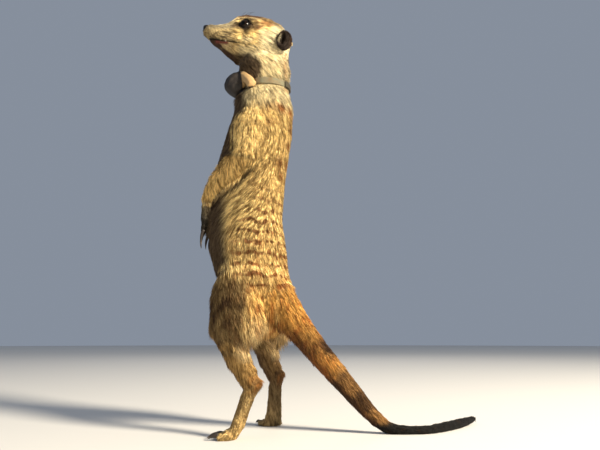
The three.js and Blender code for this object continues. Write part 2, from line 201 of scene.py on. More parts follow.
# ---- meshes as arrays -------------------------------------------------------------------------
def joined(shapes):
    """Several lots of places and faces as one."""
    places, faces, start = [], [], 0
    for some_places, some_faces in shapes:
        places.append(some_places)
        faces += [tuple(corner + start for corner in face) for face in some_faces]
        start += len(some_places)
    return np.concatenate(places), faces


def mesh_object(name, places, faces):
    mesh = bpy.data.meshes.new(name)
    mesh.from_pydata([tuple(p) for p in places], [], [tuple(f) for f in faces])
    mesh.update()
    piece = bpy.data.objects.new(name, mesh)
    bpy.context.scene.collection.objects.link(piece)
    return piece


def places_of(mesh):
    """The places of a mesh's vertices, one row for each."""
    flat = np.empty(len(mesh.vertices) * 3)
    mesh.vertices.foreach_get("co", flat)
    return flat.reshape(-1, 3)


def set_places(mesh, places):
    mesh.vertices.foreach_set("co", places.ravel())
    mesh.update()


def normals_of(mesh):
    flat = np.empty(len(mesh.vertices) * 3, dtype=np.float32)
    mesh.vertex_normals.foreach_get("vector", flat)
    return flat.reshape(-1, 3).astype(float)


def faces_of(mesh):
    return [tuple(polygon.vertices) for polygon in mesh.polygons]


def search_tree(places, faces):
    """A tree that finds the nearest place on some faces."""
    return BVHTree.FromPolygons([tuple(p) for p in places], faces)


def edges_of(mesh):
    flat = np.empty(len(mesh.edges) * 2, dtype=np.int32)
    mesh.edges.foreach_get("vertices", flat)
    return flat.reshape(-1, 2)


def store(mesh, name, values, kind="FLOAT"):
    """Keeps one value for each vertex as a named attribute."""
    field = {"FLOAT": "value", "FLOAT_VECTOR": "vector", "FLOAT_COLOR": "color"}[kind]
    attribute = mesh.attributes.new(name, kind, "POINT")
    attribute.data.foreach_set(field, np.ascontiguousarray(values, dtype=np.float32).ravel())


def neighbour_mean(values, edges):
    """The mean value of the neighbours of each vertex."""
    count = len(values)
    ends = np.concatenate([edges[:, 0], edges[:, 1]])
    others = np.concatenate([edges[:, 1], edges[:, 0]])
    degree = np.maximum(np.bincount(ends, minlength=count), 1)
    if values.ndim == 1:
        return np.bincount(ends, values[others], count) / degree
    columns = [np.bincount(ends, values[others, i], count) / degree for i in range(values.shape[1])]
    return np.stack(columns, axis=1)


def relaxed(values, edges, rounds):
    """Values on the vertices, spread to their neighbours in a number of rounds."""
    for _ in range(rounds):
        values = (values + neighbour_mean(values, edges)) / 2
    return values


def smoothed(places, edges, rounds):
    """Smooths each vertex for its own number of rounds, then gives back the broad shape it lost."""
    def smooth(values):
        for turn in range(int(rounds.max())):
            active = (rounds > turn).astype(float)[:, None]
            values = values + active * SMOOTHING * (neighbour_mean(values, edges) - values)
        return values

    once = smooth(places)
    return once + smooth(places - once)


def eased(places, edges, share, rounds):
    """Smooths only the vertices that have a share, for a step between two parts."""
    near = edges[(share[edges[:, 0]] > 0) | (share[edges[:, 1]] > 0)]
    used = np.unique(near)
    slots = np.zeros(len(places), dtype=int)
    slots[used] = np.arange(len(used))
    near, weight, moved = slots[near], SMOOTHING * share[used][:, None], places[used]
    for _ in range(rounds):
        moved = moved + weight * (neighbour_mean(moved, near) - moved)
    result = places.copy()
    result[used] = moved
    return result


# ---- skin -------------------------------------------------------------------------------------
def merged_flesh(swell):
    """The flesh nodes as one list of places and triangles, each node swollen to close its gaps."""
    places, faces, owners = [], [], []
    for owner, node in enumerate(FLESH):
        bm = bmesh.new()
        bm.from_mesh(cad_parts[node].data)
        bmesh.ops.remove_doubles(bm, verts=bm.verts, dist=1e-6)
        bmesh.ops.triangulate(bm, faces=bm.faces)
        bm.normal_update()
        start = len(places)
        places.extend(v.co + v.normal * swell for v in bm.verts)
        faces.extend(tuple(v.index + start for v in f.verts) for f in bm.faces)
        owners.extend([owner] * len(bm.faces))
        bm.free()
    return places, faces, owners


def evaluated_mesh(piece):
    """A plain mesh of a piece with its modifiers carried out."""
    depsgraph = bpy.context.evaluated_depsgraph_get()
    return bpy.data.meshes.new_from_object(piece.evaluated_get(depsgraph))


def remeshed(places, faces, voxel):
    """One closed mesh round overlapping shapes, in steps of the voxel's size."""
    rough = mesh_object("rough_skin", places, faces)
    remesh = rough.modifiers.new("remesh", "REMESH")
    remesh.mode = "VOXEL"
    remesh.voxel_size = voxel
    mesh = evaluated_mesh(rough)
    bpy.data.objects.remove(rough)
    return mesh


def node_tree(*nodes):
    """A search tree over the faces of some nodes."""
    meshes = [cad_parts[node].data for node in nodes]
    return search_tree(*joined([(places_of(mesh), faces_of(mesh)) for mesh in meshes]))


def part_numbers(points, tree, owners):
    """The number in FLESH of the part of the body nearest to each point."""
    return np.array([owners[tree.find_nearest(p)[2]] for p in points.tolist()])


def by_part(parts, column):
    """A column of COAT for each vertex."""
    values = np.array([COAT[kind_of(node)][column] for node in FLESH], dtype=float)
    return values[parts]


def thinned(mesh, share):
    """The mesh with fewer triangles, which stay closer together where it bends most."""
    piece = bpy.data.objects.new("thinned_skin", mesh)
    bpy.context.scene.collection.objects.link(piece)
    modifier = piece.modifiers.new("thin", "DECIMATE")
    modifier.ratio = share
    modifier.use_collapse_triangulate = True
    result = evaluated_mesh(piece)
    bpy.data.objects.remove(piece)
    return result


# Places on the face, in its own frame in mm.
EYE_PLACE = to_face(middle("eye_left"))
EYE_RADIUS = (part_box("eye_left")[1][2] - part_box("eye_left")[0][2]) / 2 / MM
EYE_LOOK = unit(np.array([0.34, 0.93, -0.02]))
EYE_OPEN = (50.0, 30.0, 30.0)          # degrees from the line of sight to the corners, up and down
MOUTH_CORNER = np.array([0.5, 0.0, -14.9])
LIP_SLOPE = math.tan(math.radians(14.8))
EAR_PLACE = to_face(middle("ear_left"))


def lip_line(x):
    """The height of the mouth line at a place along the muzzle."""
    return MOUTH_CORNER[2] + (x - MOUTH_CORNER[0]) * LIP_SLOPE


def nearest_of_pair(face, place):
    """Distance from each point to the nearer of a place and its mirror on the other side."""
    return np.minimum(np.linalg.norm(face - place, axis=1),
                      np.linalg.norm(face - place * [1, -1, 1], axis=1))


def finer_face(mesh):
    """Splits the skin's faces finer round the eyes, mouth, nose and ears."""
    bm = bmesh.new()
    bm.from_mesh(mesh)
    for reach in (1.0, 0.6):
        near = to_face(np.array([v.co for v in bm.verts]))
        eyes = nearest_of_pair(near, EYE_PLACE) < 11 * reach
        ears = nearest_of_pair(near, EAR_PLACE) < 11 * reach
        muzzle = (near[:, 0] > 8) & (reach == 1.0) & (near[:, 2] > -22)
        lips = (np.abs(near[:, 2] - lip_line(near[:, 0])) < 3.2) & (near[:, 0] > -2)
        chosen = eyes | ears | muzzle | lips
        edges = [e for e in bm.edges if chosen[e.verts[0].index] and chosen[e.verts[1].index]
                 and e.calc_length() > 0.55 * MM]
        bmesh.ops.subdivide_edges(bm, edges=edges, cuts=1, use_grid_fill=True)
        bmesh.ops.triangulate(bm, faces=bm.faces)
        bm.verts.index_update()
    bm.to_mesh(mesh)
    bm.free()
    mesh.update()


def round_eyes(face):
    """For each eye: where each point lies round it, and how many degrees outside the lids' opening."""
    for side in (1, -1):
        flip = np.array([1, side, 1])
        look = EYE_LOOK * flip
        along = unit(np.array([1.0, 0, 0]) - look * look[0])
        rise = np.cross(look, along) * -side
        ray = face - EYE_PLACE * flip
        reach = np.linalg.norm(ray, axis=1)
        ray = ray / np.maximum(reach, 1e-6)[:, None]
        towards = ray @ look
        u = np.degrees(np.arctan2(ray @ along, towards))
        v = np.degrees(np.arctan2(ray @ rise, towards))
        width = np.sqrt(np.clip(1 - (u / EYE_OPEN[0]) ** 2, 0.0, 1.0))
        upper = EYE_OPEN[1] * width + 0.05 * u
        lower = EYE_OPEN[2] * width - 0.16 * u
        beyond = np.where(v > 0, v - upper, -v - lower)
        beyond = np.maximum(beyond, np.abs(u) - EYE_OPEN[0])
        yield flip, ray, reach, towards, beyond


def shape_eyes(face):
    """Brings the skin to the eyeballs: lids with an almond opening, and a soft rim round them."""
    for flip, ray, reach, towards, beyond in round_eyes(face):
        near = (reach < 10) & (towards > 0.05)
        rim = EYE_RADIUS + 0.55 - 0.25 * ramp(0, 16, beyond) - 0.35 * hump(22, 9, beyond)
        lid = EYE_RADIUS - 0.9 + (rim - EYE_RADIUS + 0.9) * ramp(-6, 0, beyond)
        blend = ramp(44, 12, beyond)
        wanted = np.where(beyond < 0, lid, lid + (reach - lid) * (1 - blend))
        face = np.where(near[:, None], EYE_PLACE * flip + ray * wanted[:, None], face)
    return face


def shape_mouth(face):
    """Cuts the mouth line into the muzzle and rolls the lips on both sides of it."""
    x, y, z = face.T
    level = z - lip_line(x)
    along = ramp(-2.0, 2.0, x)
    opening = 0.5 + 0.45 * ramp(4, 22, x) + 0.5 * hump(16, 6, x)
    groove = np.exp(-((level / opening) ** 2)) * along
    upper_lip = np.exp(-(((level - 1.9) / 1.0) ** 2)) * along
    lower_lip = np.exp(-(((level + 1.7) / 0.8) ** 2)) * along
    depth = 1.5 * groove - 0.35 * upper_lip - 0.25 * lower_lip
    centre = np.stack([np.minimum(x, 20), np.zeros_like(y), lip_line(x)], axis=1)
    return face - unit(face - centre) * depth[:, None]


def shape_face(face):
    """Sinks the skin ahead of and under the eyes and fills the brows and cheeks."""
    x, y, z = face[:, 0], np.abs(face[:, 1]), face[:, 2]
    side = ramp(3.0, 8.0, y)
    tear = np.exp(-(((x - 9.5) / 4.5) ** 2 + ((z + 1.0) / 3.0) ** 2)) * side
    under = np.exp(-(((x - 0.0) / 8.0) ** 2 + ((z + 8.5) / 2.6) ** 2)) * side
    cheek = np.exp(-(((x + 12.0) / 9.0) ** 2 + ((z + 13.0) / 8.0) ** 2)) * side
    brow = np.exp(-(((x - 0.5) / 6.0) ** 2 + ((z - 5.2) / 2.0) ** 2)) * side
    push = 0.35 * cheek + 0.45 * brow - 0.7 * tear - 0.4 * under - 2.2 * ramp(-26.0, -34.0, x)
    centre = np.stack([x, np.zeros_like(y), np.full_like(z, -3.0)], axis=1)
    return face + unit(face - centre) * push[:, None]


def shape_ears(face):
    """Deepens the cup of each ear, with a rim round it and a fold inside."""
    for side in (1, -1):
        place = (face - EAR_PLACE * [1, side, 1]) * [1, side, 1]
        turn = math.radians(28.0)
        across = place[:, 0] * math.cos(turn) + place[:, 1] * math.sin(turn)
        out = -place[:, 0] * math.sin(turn) + place[:, 1] * math.cos(turn)
        disc = np.hypot(across / 5.0, place[:, 2] / 6.4)
        cup = np.exp(-(((across - 0.6) / 2.6) ** 2 + (place[:, 2] / 3.8) ** 2))
        fold = np.exp(-(((across + 1.7 + 0.1 * place[:, 2]) / 0.55) ** 2 + (place[:, 2] / 3.4) ** 2))
        rim = np.exp(-(((disc - 0.94) / 0.14) ** 2))
        near = ramp(9.0, 6.5, np.linalg.norm(place, axis=1)) * ramp(-1.5, 0.5, out)
        push = (0.45 * rim + 0.5 * fold - 1.3 * cup) * near
        outwards = np.array([-math.sin(turn), math.cos(turn) * side, 0.0])
        face = face + outwards * push[:, None]
    return face


def smooth_joins(places, edges, parts):
    """Rounds off the parts of the body and the steps between them: knees, nape and shoulders."""
    rounds = relaxed(by_part(parts, ROUNDS), edges, 8)
    places = smoothed(places, edges, np.round(rounds))
    legs = np.isin(kinds_of(parts), ["thigh", "shin"])
    height = places[:, 2] / MM
    knees = legs * ramp(44, 52, height) * ramp(90, 74, height)
    shoulders = hump(222, 14, height) * (np.abs(trunk_angle(places)) > 30)
    places = eased(places, edges, np.maximum(knees, nape_of(to_face(places))), JOIN_ROUNDS)
    return eased(places, edges, shoulders, SHOULDER_ROUNDS)


def make_skin():
    """One closed skin for all the flesh: rounded, sunk by the coat's depth, and shaped on the head."""
    places, faces, owners = merged_flesh(SWELL)
    tree = search_tree(places, faces)
    mesh = remeshed(places, faces, VOXEL)
    places = places_of(mesh)
    set_places(mesh, smooth_joins(places, edges_of(mesh), part_numbers(places, tree, owners)))
    mesh = thinned(mesh, SKIN_SHARE)
    finer_face(mesh)
    places, edges = places_of(mesh), edges_of(mesh)
    parts = part_numbers(places, tree, owners)
    depth = relaxed(by_part(parts, DEPTH), edges, 20) * MM + SKIN_SINK
    places = places - normals_of(mesh) * depth[:, None]
    head = np.isin(kinds_of(parts), ["head", "lower_jaw"])
    shaped = shape_mouth(shape_eyes(shape_face(to_face(places))))
    places = np.where(head[:, None], from_face(shaped), places)
    places = from_face(shape_ears(to_face(places)))
    places[:, 2] = np.maximum(places[:, 2], FLOOR_GAP)
    set_places(mesh, places)
    mesh.name = "skin"
    skin = bpy.data.objects.new("skin", mesh)
    bpy.context.scene.collection.objects.link(skin)
    for polygon in mesh.polygons:
        polygon.use_smooth = True
    return skin, tree, owners


# ---- the lie of the coat ----------------------------------------------------------------------
def distance_from_nose(places, edges):
    """How far each vertex lies from the nose over the skin, by the edges between."""
    start = int(np.argmin(np.linalg.norm(places - middle("nose"), axis=1)))
    lengths = np.linalg.norm(places[edges[:, 0]] - places[edges[:, 1]], axis=1).tolist()
    roads = [[] for _ in range(len(places))]
    for (a, b), length in zip(edges.tolist(), lengths):
        roads[a].append((b, length))
        roads[b].append((a, length))
    reached = [math.inf] * len(places)
    reached[start] = 0.0
    queue = [(0.0, start)]
    while queue:
        so_far, here = heapq.heappop(queue)
        if so_far > reached[here]:
            continue
        for there, length in roads[here]:
            if so_far + length < reached[there]:
                reached[there] = so_far + length
                heapq.heappush(queue, (so_far + length, there))
    reached = np.array(reached)
    return np.where(np.isfinite(reached), reached, 0.0)


def flow_from_nose(places, edges, normals):
    """Unit vectors over the skin that lead away from the nose, as the hair of a coat lies."""
    away = relaxed(distance_from_nose(places, edges), edges, 8)
    a, b = edges.T
    step = places[b] - places[a]
    length = np.maximum(np.linalg.norm(step, axis=1), 1e-9)
    pull = step * ((away[b] - away[a]) / length ** 2)[:, None]
    flow = np.zeros_like(places)
    for i in range(3):
        flow[:, i] = np.bincount(a, pull[:, i], len(places)) + np.bincount(b, pull[:, i], len(places))
    return unit(flow - normals * np.sum(flow * normals, axis=1, keepdims=True))


def lie_of_coat(places, edges, normals, parts):
    """Which way the hair lies: away from the nose, slanting over the flanks and back over the thighs."""
    flow = flow_from_nose(places, edges, normals)
    height, kinds = places[:, 2] / MM, kinds_of(parts)
    trunk = np.isin(kinds, ["chest", "abdomen"])
    slant = trunk * ramp(212, 182, height) * ramp(118, 150, height) * 1.1
    flow = flow + np.array([-1.0, 0, 0]) * slant[:, None]
    flow = flow + np.array([0.45, 0, -0.3]) * (kinds == "thigh")[:, None]
    flow = relaxed(flow, edges, 14)
    return unit(flow - normals * np.sum(flow * normals, axis=1, keepdims=True))


# ---- markings ---------------------------------------------------------------------------------
# Heights are in mm from the floor, and angles in degrees round the trunk from the middle of the back.
BAR_STEP = 7.4              # from one bar over the loins to the next
BAR_LEVEL = 105.0           # the height of one of the bars
BAR_WAVE = 7.0              # how far the bars rise and fall
DASH_STRETCH = (1.0, 1.0, 0.45)     # the dashes in the bars are taller than they are wide
ROW_WEIGHT, DASH_WEIGHT = 1.4, 6.4  # rows and dashes are added up, and the sum is dark above these limits
BAR_LIMITS = (3.5, 5.0)
BLOTCH_LEVELS = (167.0, 176.0, 186.0, 199.0, 212.0, 223.0)     # the heights of the rows of blotches
BLOTCH_TALL, BLOTCH_PITCH = 4.0, 11.0       # half the height of a blotch, and the step to the next
MM_PER_DEGREE = 0.45        # round the trunk
# The angle at which the dark front of the body starts, at each height: the belly's own grey-brown, and
# painted shade where the front turns away from the light.
FRONT_EDGE = ((100, 120, 150, 165, 185, 197, 222, 232), (86, 84, 86, 92, 88, 74, 71, 82))
# Outlines on the face, in its own frame: the lower edge of the dark crown and the upper edge of the
# painted shadow on the throat as z at each x, and that shadow's rear edge as x at each z.
CROWN_EDGE = ((-26, -21, -10, -4, 8), (-0.6, 1.0, 3.6, 5.8, 5.4))
THROAT_SHADOW_EDGE = ((-13.7, -11.6, -8.3, -3.5, 3.8, 8.6, 15.0, 24.0),
               (-29.6, -25.4, -22.3, -20.5, -20.3, -18.9, -15.5, -10.5))
THROAT_SHADOW_REAR = ((-40.0, -38.4, -34.3, -29.6), (-10.5, -11.4, -12.9, -13.7))
# How much of each colour each mark gives where the mark is full.
RECIPES = {
    "bars": {"bars": 0.86},
    "rust": {"blotches": 0.95, "ticks": 0.5, "dashes": 0.6, "haunch": 0.2, "eye_streak": 0.75, "nape": 0.5,
             "hock": 0.6, "shin": 0.2, "tail": 0.25, "down_tail": 0.35, "under_tail": 0.5},
    "brown": {"shoulder_mark": 0.8, "speckle": 0.1, "blotches": 0.2, "haunch_brown": 1.0, "belly_and_front_shade": 0.66,
              "fold": 0.85, "eye_patch": 1.0, "eye_streak": 0.4, "crown_brown": 1.0, "brow": 0.5,
              "whisker_spots": 0.45, "muzzle_brown": 1.0, "shadow_on_chin": 0.75, "throat_shadow": 0.85, "ears": 1.0,
              "forearm": 0.12, "bare_shin": 0.42, "foot_top": 1.0, "shade_on_far_leg": 0.15, "tail_shadow": 0.4,
              "tail_mark": 0.8, "tail_band": 0.6, "tail_brown": 1.0, "tail_low": 0.45},
    "cream": {"ruff": 0.75, "fringe": 0.5, "cheek": 0.9, "brow": 0.25, "temple": 0.95, "muzzle": 0.4,
              "muzzle_top": 0.4, "neck": 0.75, "foot": 0.15},
    "grey": {"belly_and_front_shade": 0.9, "haunch_front": 0.4, "brow": 0.4, "crown": 0.2, "muzzle_top": 0.4, "throat_shadow": 0.5,
             "hand": 0.8, "shin_front": 0.45, "shade_on_far_leg": 0.45},
    "gold": {"mid_back": 0.12, "behind": 0.6, "fringe": 0.2, "neck": 0.3, "forearm": 0.3, "bare_shin": 0.5,
             "hock": 0.4, "foot": 0.4, "tail": 0.5},
    "black": {"fold": 0.5, "lid": 0.9, "mouth": 1.0, "nose_rim": 0.8, "ear_front": 0.7, "in_ear": 0.9,
              "knuckles": 0.95, "tail_tip": 1.0},
    "gum": {"gum": 1.0},
}


def fringe_of(places, parts, normals):
    """1 on the long pale fur down the back of each thigh, and 0 away from it."""
    legs = np.isin(kinds_of(parts), ["thigh", "shin", "pelvis"])
    height = places[:, 2] / MM
    aside = np.abs(places[:, 1] - middle("pelvis")[1]) / MM
    band = ramp(48, 56, height) * ramp(84, 70, height)
    return legs * ramp(0.0, 0.5, normals[:, 0]) * band * ramp(6, 11, aside)


def survey(places, parts, normals):
    """What the markings are drawn from: where each place is on the body and on the face."""
    face, turn = to_face(places), trunk_angle(places)
    return SimpleNamespace(
        places=places, kinds=kinds_of(parts), height=places[:, 2] / MM, turn=turn, angle=np.abs(turn),
        rearward=normals[:, 0], upward=normals[:, 2], fringe=fringe_of(places, parts, normals),
        face=face, x=face[:, 0], y=np.abs(face[:, 1]), z=face[:, 2], lip=face[:, 2] - lip_line(face[:, 0]),
        fine=mottle(places, 2.0 * MM, 1), patchy=mottle(places, 5.0 * MM, 2),
        broad=mottle(places, 14.0 * MM, 3))


def on(at, *kinds):
    """1 on these parts of the body and 0 on the others."""
    return np.isin(at.kinds, kinds).astype(float)


def blotches_up_back(at):
    """Loose rows of upright blotches round the back: a row at each level, broken at random."""
    arc = at.turn * MM_PER_DEGREE
    random = np.random.RandomState(8)
    total = np.zeros(len(at.height))
    for level in BLOTCH_LEVELS:
        phase, drift = random.rand() * 6.3, random.rand() * 6.3
        gap = np.abs(at.height - level - 2.2 * (at.broad - 0.5) - 0.9 * np.sin(arc / 7.0 + drift))
        row = ramp(BLOTCH_TALL, BLOTCH_TALL * 0.35, gap)
        dash = 0.5 + 0.5 * np.cos(2 * math.pi * arc / BLOTCH_PITCH + phase + 4.0 * at.broad)
        total = np.maximum(total, row * (0.25 + 0.75 * ramp(0.25, 0.7, dash)))
    return total


def back_marks(at):
    """Dark bars over the loins, rusty blotches further up, and ticks of rust over the flanks."""
    trunk = on(at, "chest", "abdomen", "pelvis", "upper_arm", "thigh", "tail_base")
    height, angle = at.height, at.angle
    bars = trunk * ramp(88, 96, height) * ramp(172, 152, height)
    bars *= ramp(94, 62, angle + 30 * (at.broad - 0.5) + 34 * ramp(136, 156, height))
    blotches = blotches_up_back(at)
    blotches *= ramp(66, 26, angle + 24 * (at.patchy - 0.5)) * trunk * ramp(158, 168, height)
    ticks = ramp(0.55, 0.7, at.fine) * trunk * ramp(52, 66, height) * ramp(150, 120, height)
    return {
        "bars": bars,
        "blotches": blotches * ramp(0.3, 0.5, at.broad),
        "ticks": ticks * ramp(100, 80, angle),
        "speckle": ramp(0.60, 0.78, at.fine) * trunk * ramp(150, 190, height) * ramp(150, 110, angle),
        "shoulder_mark": hump(186.0, 4.0, height) * hump(86.0, 9.0, angle) * trunk,
        "mid_back": ramp(70, 30, angle) * trunk,
        "ruff": trunk * ramp(217, 232, height + 5 * (at.patchy - 0.5)),
    }


def under_marks(at):
    """Grey-brown belly and chest with painted shade on the front, painted shadow under the forearms, and the
    haunches.
    """
    height, angle = at.height, at.angle
    front = np.interp(height, *FRONT_EDGE)
    # The belly's own grey-brown, with painted shade on the front of the trunk that turns away from the light.
    belly_and_front_shade = ramp(front - 2, front + 21, angle + 12 * (at.broad - 0.5)) * on(at, "chest", "abdomen", "pelvis")
    haunch = ramp(60, 76, angle + 12 * (at.broad - 0.5)) * ramp(110, 96, height + 8 * (at.patchy - 0.5))
    haunch *= on(at, "thigh", "pelvis", "abdomen")
    blots = ramp(0.5, 0.64, at.patchy * 0.6 + at.fine * 0.4) * ramp(28, 44, height)
    behind = on(at, "thigh", "tail_base", "pelvis") * ramp(74, 58, angle) * ramp(104, 88, height)
    nearest = [forearm_tree.find_nearest(place) for place in at.places.tolist()]
    gap = np.array([found[3] for found in nearest]) / MM
    below = np.array([found[0].z for found in nearest]) / MM - height
    return {
        "belly_and_front_shade": belly_and_front_shade,
        "haunch": haunch,
        "haunch_brown": haunch * (0.74 + 0.24 * blots) * (1 - at.fringe),
        "haunch_front": haunch * ramp(92, 120, angle),
        "behind": behind,
        "dashes": behind * ramp(0.54, 0.68, at.fine) * ramp(0.4, 0.6, at.patchy) * (1 - at.fringe),
        "fringe": at.fringe,
        # Painted shadow: the fur under each forearm is darkened where the forearm hangs close over it.
        "fold": on(at, "chest", "abdomen", "upper_arm") * ramp(4.6, 2.2, gap) * ramp(-0.5, 1.0, below),
    }


def eye_marks(at):
    """The dark patch round each eye, drawn out ahead, with a rusty streak behind it and a pale brow."""
    x, y, z = at.x, at.y, at.z
    ahead = np.where(x > 0, 11.6, 8.8)
    above = np.where(z > -0.8, 4.4 - 0.9 * ramp(3, 9, x), 6.4 - 2.6 * ramp(2, 8, x))
    reach = np.hypot(x / ahead, (z + 0.8) / above) + 0.25 * (at.fine - 0.5)
    patch = (0.66 * ramp(1.15, 0.9, reach) + 0.3 * ramp(0.85, 0.5, reach)) * ramp(4.0, 7.0, y)
    upper = hump(-12.5, 10.0, x) * ramp(2.9, 1.3, np.abs(z - 1.8 - 1.2 * (at.patchy - 0.5)))
    lower = hump(-8.5, 5.0, x) * ramp(2.4, 1.0, np.abs(z + 3.4 + 0.3 * (x + 8.0)))
    return {
        "eye_patch": patch,
        "eye_streak": np.maximum(upper, lower) * ramp(5, 9, y),
        "brow": ramp(-10, -6, x) * ramp(9, 5, x) * ramp(3.2, 4.6, z) * ramp(3.0, 6.0, y),
        "lid": ramp(EYE_RADIUS + 1.5, EYE_RADIUS + 0.8, nearest_of_pair(at.face, EYE_PLACE)),
    }


def head_marks(at):
    """The pale cheeks and temples, the freckled crown and muzzle, the dark lips, and painted shadow on the
    chin.
    """
    x, z, lip = at.x, at.z, at.lip
    freckles = ramp(0.46, 0.66, at.fine * 0.6 + at.patchy * 0.4)
    cheek = ramp(-6, -12, x) * ramp(-2, -6, z) * ramp(-34, -24, z)
    under_eye = np.exp(-(((x + 1.5) / 5.0) ** 2 + ((z + 12.0) / 2.4) ** 2))
    jowl = ramp(8, 0, x) * ramp(-14, -17, z) * ramp(-26, -21, z)
    crown = ramp(0.0, 1.8, z - np.interp(x, *CROWN_EDGE)) * ramp(15, 8, x) * ramp(-27, -19, x)
    muzzle = ramp(4, 12, x)
    jaw = ramp(2, 12, x) * ramp(-1.5, -3.5, lip)
    mouth = np.exp(-((lip / (0.5 + 0.4 * ramp(4, 22, x))) ** 2)) * ramp(-1.0, 1.5, x)
    gum = ramp(-0.2, -0.8, lip) * ramp(-3.0, -2.0, lip) * ramp(9.5, 12, x) * ramp(22, 19, x)
    return {
        "cheek": np.maximum(np.maximum(cheek, 0.9 * under_eye), 0.75 * jowl),
        "temple": ramp(-15, -19, x) * ramp(-34, -28, x) * ramp(-10, -7, z) * ramp(5.5, 2.5, z),
        "crown": crown,
        "crown_brown": crown * (0.62 + 0.3 * freckles),
        "muzzle": muzzle,
        "muzzle_top": muzzle * ramp(-4.5, -2.0, z - 0.06 * x),
        "muzzle_brown": (jaw * 0.4 + muzzle * (0.26 + 0.2 * ramp(12, 23, x))) * (0.5 + 0.8 * freckles),
        # Painted shadow: the chin is darkened under the overhanging muzzle.
        "shadow_on_chin": ramp(15, 20, x) * ramp(0.5, -0.5, lip),
        "mouth": mouth,
        "gum": gum * (1 - 0.8 * mouth),
        "in_ear": ramp(6.6, 5.8, nearest_of_pair(at.face, EAR_PLACE)),
    }


def neck_marks(at):
    """The painted shadow under the jaw, the rusty nape, and what lies round the lips, nose and ears."""
    x, z, neck, ears = at.x, at.z, on(at, "neck"), on(at, "ear")
    # Painted shadow: the throat under the jaw is darkened as if the jaw shaded it.
    throat_shadow = ramp(0.5, -1.2, z - np.interp(x, *THROAT_SHADOW_EDGE)) * ramp(-0.6, 1.6, x - np.interp(z, *THROAT_SHADOW_REAR))
    return {
        "neck": neck,
        "nape": neck * ramp(0.45, 0.7, at.patchy) * ramp(-24, -31, x),
        "throat_shadow": throat_shadow * on(at, "head", "lower_jaw", "neck") * ramp(24, 19, x),
        "whisker_spots": ramp(0.55, 0.75, at.fine) * ramp(2, 6, x) * ramp(24, 20, x) * hump(3.2, 3.2, at.lip),
        "nose_rim": ramp(1.4, 0.2, nearest_of_pair(at.face, to_face(middle("nose"))) - 2.9),
        "ears": ears,
        "ear_front": ears * (1 - 0.8 * ramp(-2.5, -4.6, x - EAR_PLACE[0])),
    }


def limb_marks(at):
    """Dark hands and knuckles, rusty hocks, grey down the fronts of the shins, and painted shade on the far
    leg.
    """
    height, shin, foot = at.height, on(at, "shin"), on(at, "foot")
    return {
        "hand": on(at, "hand"),
        "forearm": on(at, "forearm"),
        "knuckles": on(at, "hand", "forearm") * ramp(158, 140, height),
        "shin": shin,
        "bare_shin": shin * (1 - at.fringe),
        "shin_front": shin * ramp(0.1, -0.7, at.rearward),
        "hock": (shin + foot) * hump(35, 9, height) * ramp(0.0, 0.6, at.rearward),
        "foot": foot,
        "foot_top": foot * (0.12 + 0.4 * ramp(8, 22, height)),
        # Painted shade: the shin and foot on the far side are darkened, as the near leg shades them.
        "shade_on_far_leg": (shin + foot) * ramp(-20, -12, at.places[:, 1] / MM),
    }


def tail_marks(at):
    """A tail that darkens from gold to brown, with a dark band, and ends in a black tip."""
    height, tail, low = at.height, on(at, "tail_base", "tail_middle", "tail_low"), on(at, "tail_low")
    down, under = ramp(92, 30, height) * tail, ramp(-0.1, -0.7, at.upward) * tail
    return {
        "tail": tail,
        "down_tail": down,
        "under_tail": under,
        "tail_shadow": down * under,
        "tail_mark": hump(58, 9, height) * tail * ramp(0.1, 0.5, at.upward),
        "tail_band": hump(60, 16, height) * tail,
        "tail_brown": on(at, "tail_middle") * (0.6 + 0.3 * ramp(0.45, 0.65, at.patchy)),
        "tail_low": low,
        "tail_tip": np.maximum(on(at, "tail_tip"), low * ramp(11, 7, height)),
    }


def markings(places, parts, normals):
    """The share of each colour at each place, from 0 to 1."""
    at = survey(places, parts, normals)
    head = on(at, "head", "lower_jaw")
    marks = {name: mark * head for name, mark in {**eye_marks(at), **head_marks(at)}.items()}
    for some_marks in (back_marks(at), under_marks(at), neck_marks(at), limb_marks(at), tail_marks(at)):
        marks.update(some_marks)
    shares = {colour: sum(marks[mark] * amount for mark, amount in recipe.items())
              for colour, recipe in RECIPES.items()}
    return {colour: np.clip(share, 0, 1) for colour, share in shares.items()}


# ---- materials --------------------------------------------------------------------------------
PALETTE = {
    "straw": (0.93, 0.70, 0.30),
    "tan": (0.66, 0.41, 0.14),
    "rust": (0.40, 0.135, 0.030),
    "umber": (0.23, 0.072, 0.021),
    "brown": (0.060, 0.029, 0.014),
    "cream": (0.72, 0.63, 0.40),
    "grey": (0.15, 0.125, 0.095),
    "gold": (0.80, 0.45, 0.11),
    "black": (0.009, 0.008, 0.007),
    "gum": (0.22, 0.06, 0.045),
}


def new_material(name):
    material = bpy.data.materials.new(name)
    material.use_nodes = True
    tree = material.node_tree
    return material, tree, tree.nodes["Principled BSDF"]


def plug(tree, value, socket):
    """Links a socket to the value where it is a socket too, and otherwise sets it."""
    if isinstance(value, bpy.types.NodeSocket):
        tree.links.new(value, socket)
    elif isinstance(value, tuple) and len(value) == 3 and socket.type == "RGBA":
        socket.default_value = (*value, 1.0)
    else:
        socket.default_value = value


def math_of(tree, operation, a, b=0.0, c=0.0):
    """One sum, product or other step of arithmetic."""
    node = tree.nodes.new("ShaderNodeMath")
    node.operation = operation
    for value, socket in zip((a, b, c), node.inputs):
        plug(tree, value, socket)
    return node.outputs[0]


def mixed(tree, share, a, b, blend="MIX"):
    """The first colour turning into the second as the share goes from 0 to 1."""
    node = tree.nodes.new("ShaderNodeMix")
    node.data_type = "RGBA"
    node.blend_type = blend
    plug(tree, share, node.inputs[0])
    plug(tree, a, node.inputs[6])
    plug(tree, b, node.inputs[7])
    return node.outputs[2]


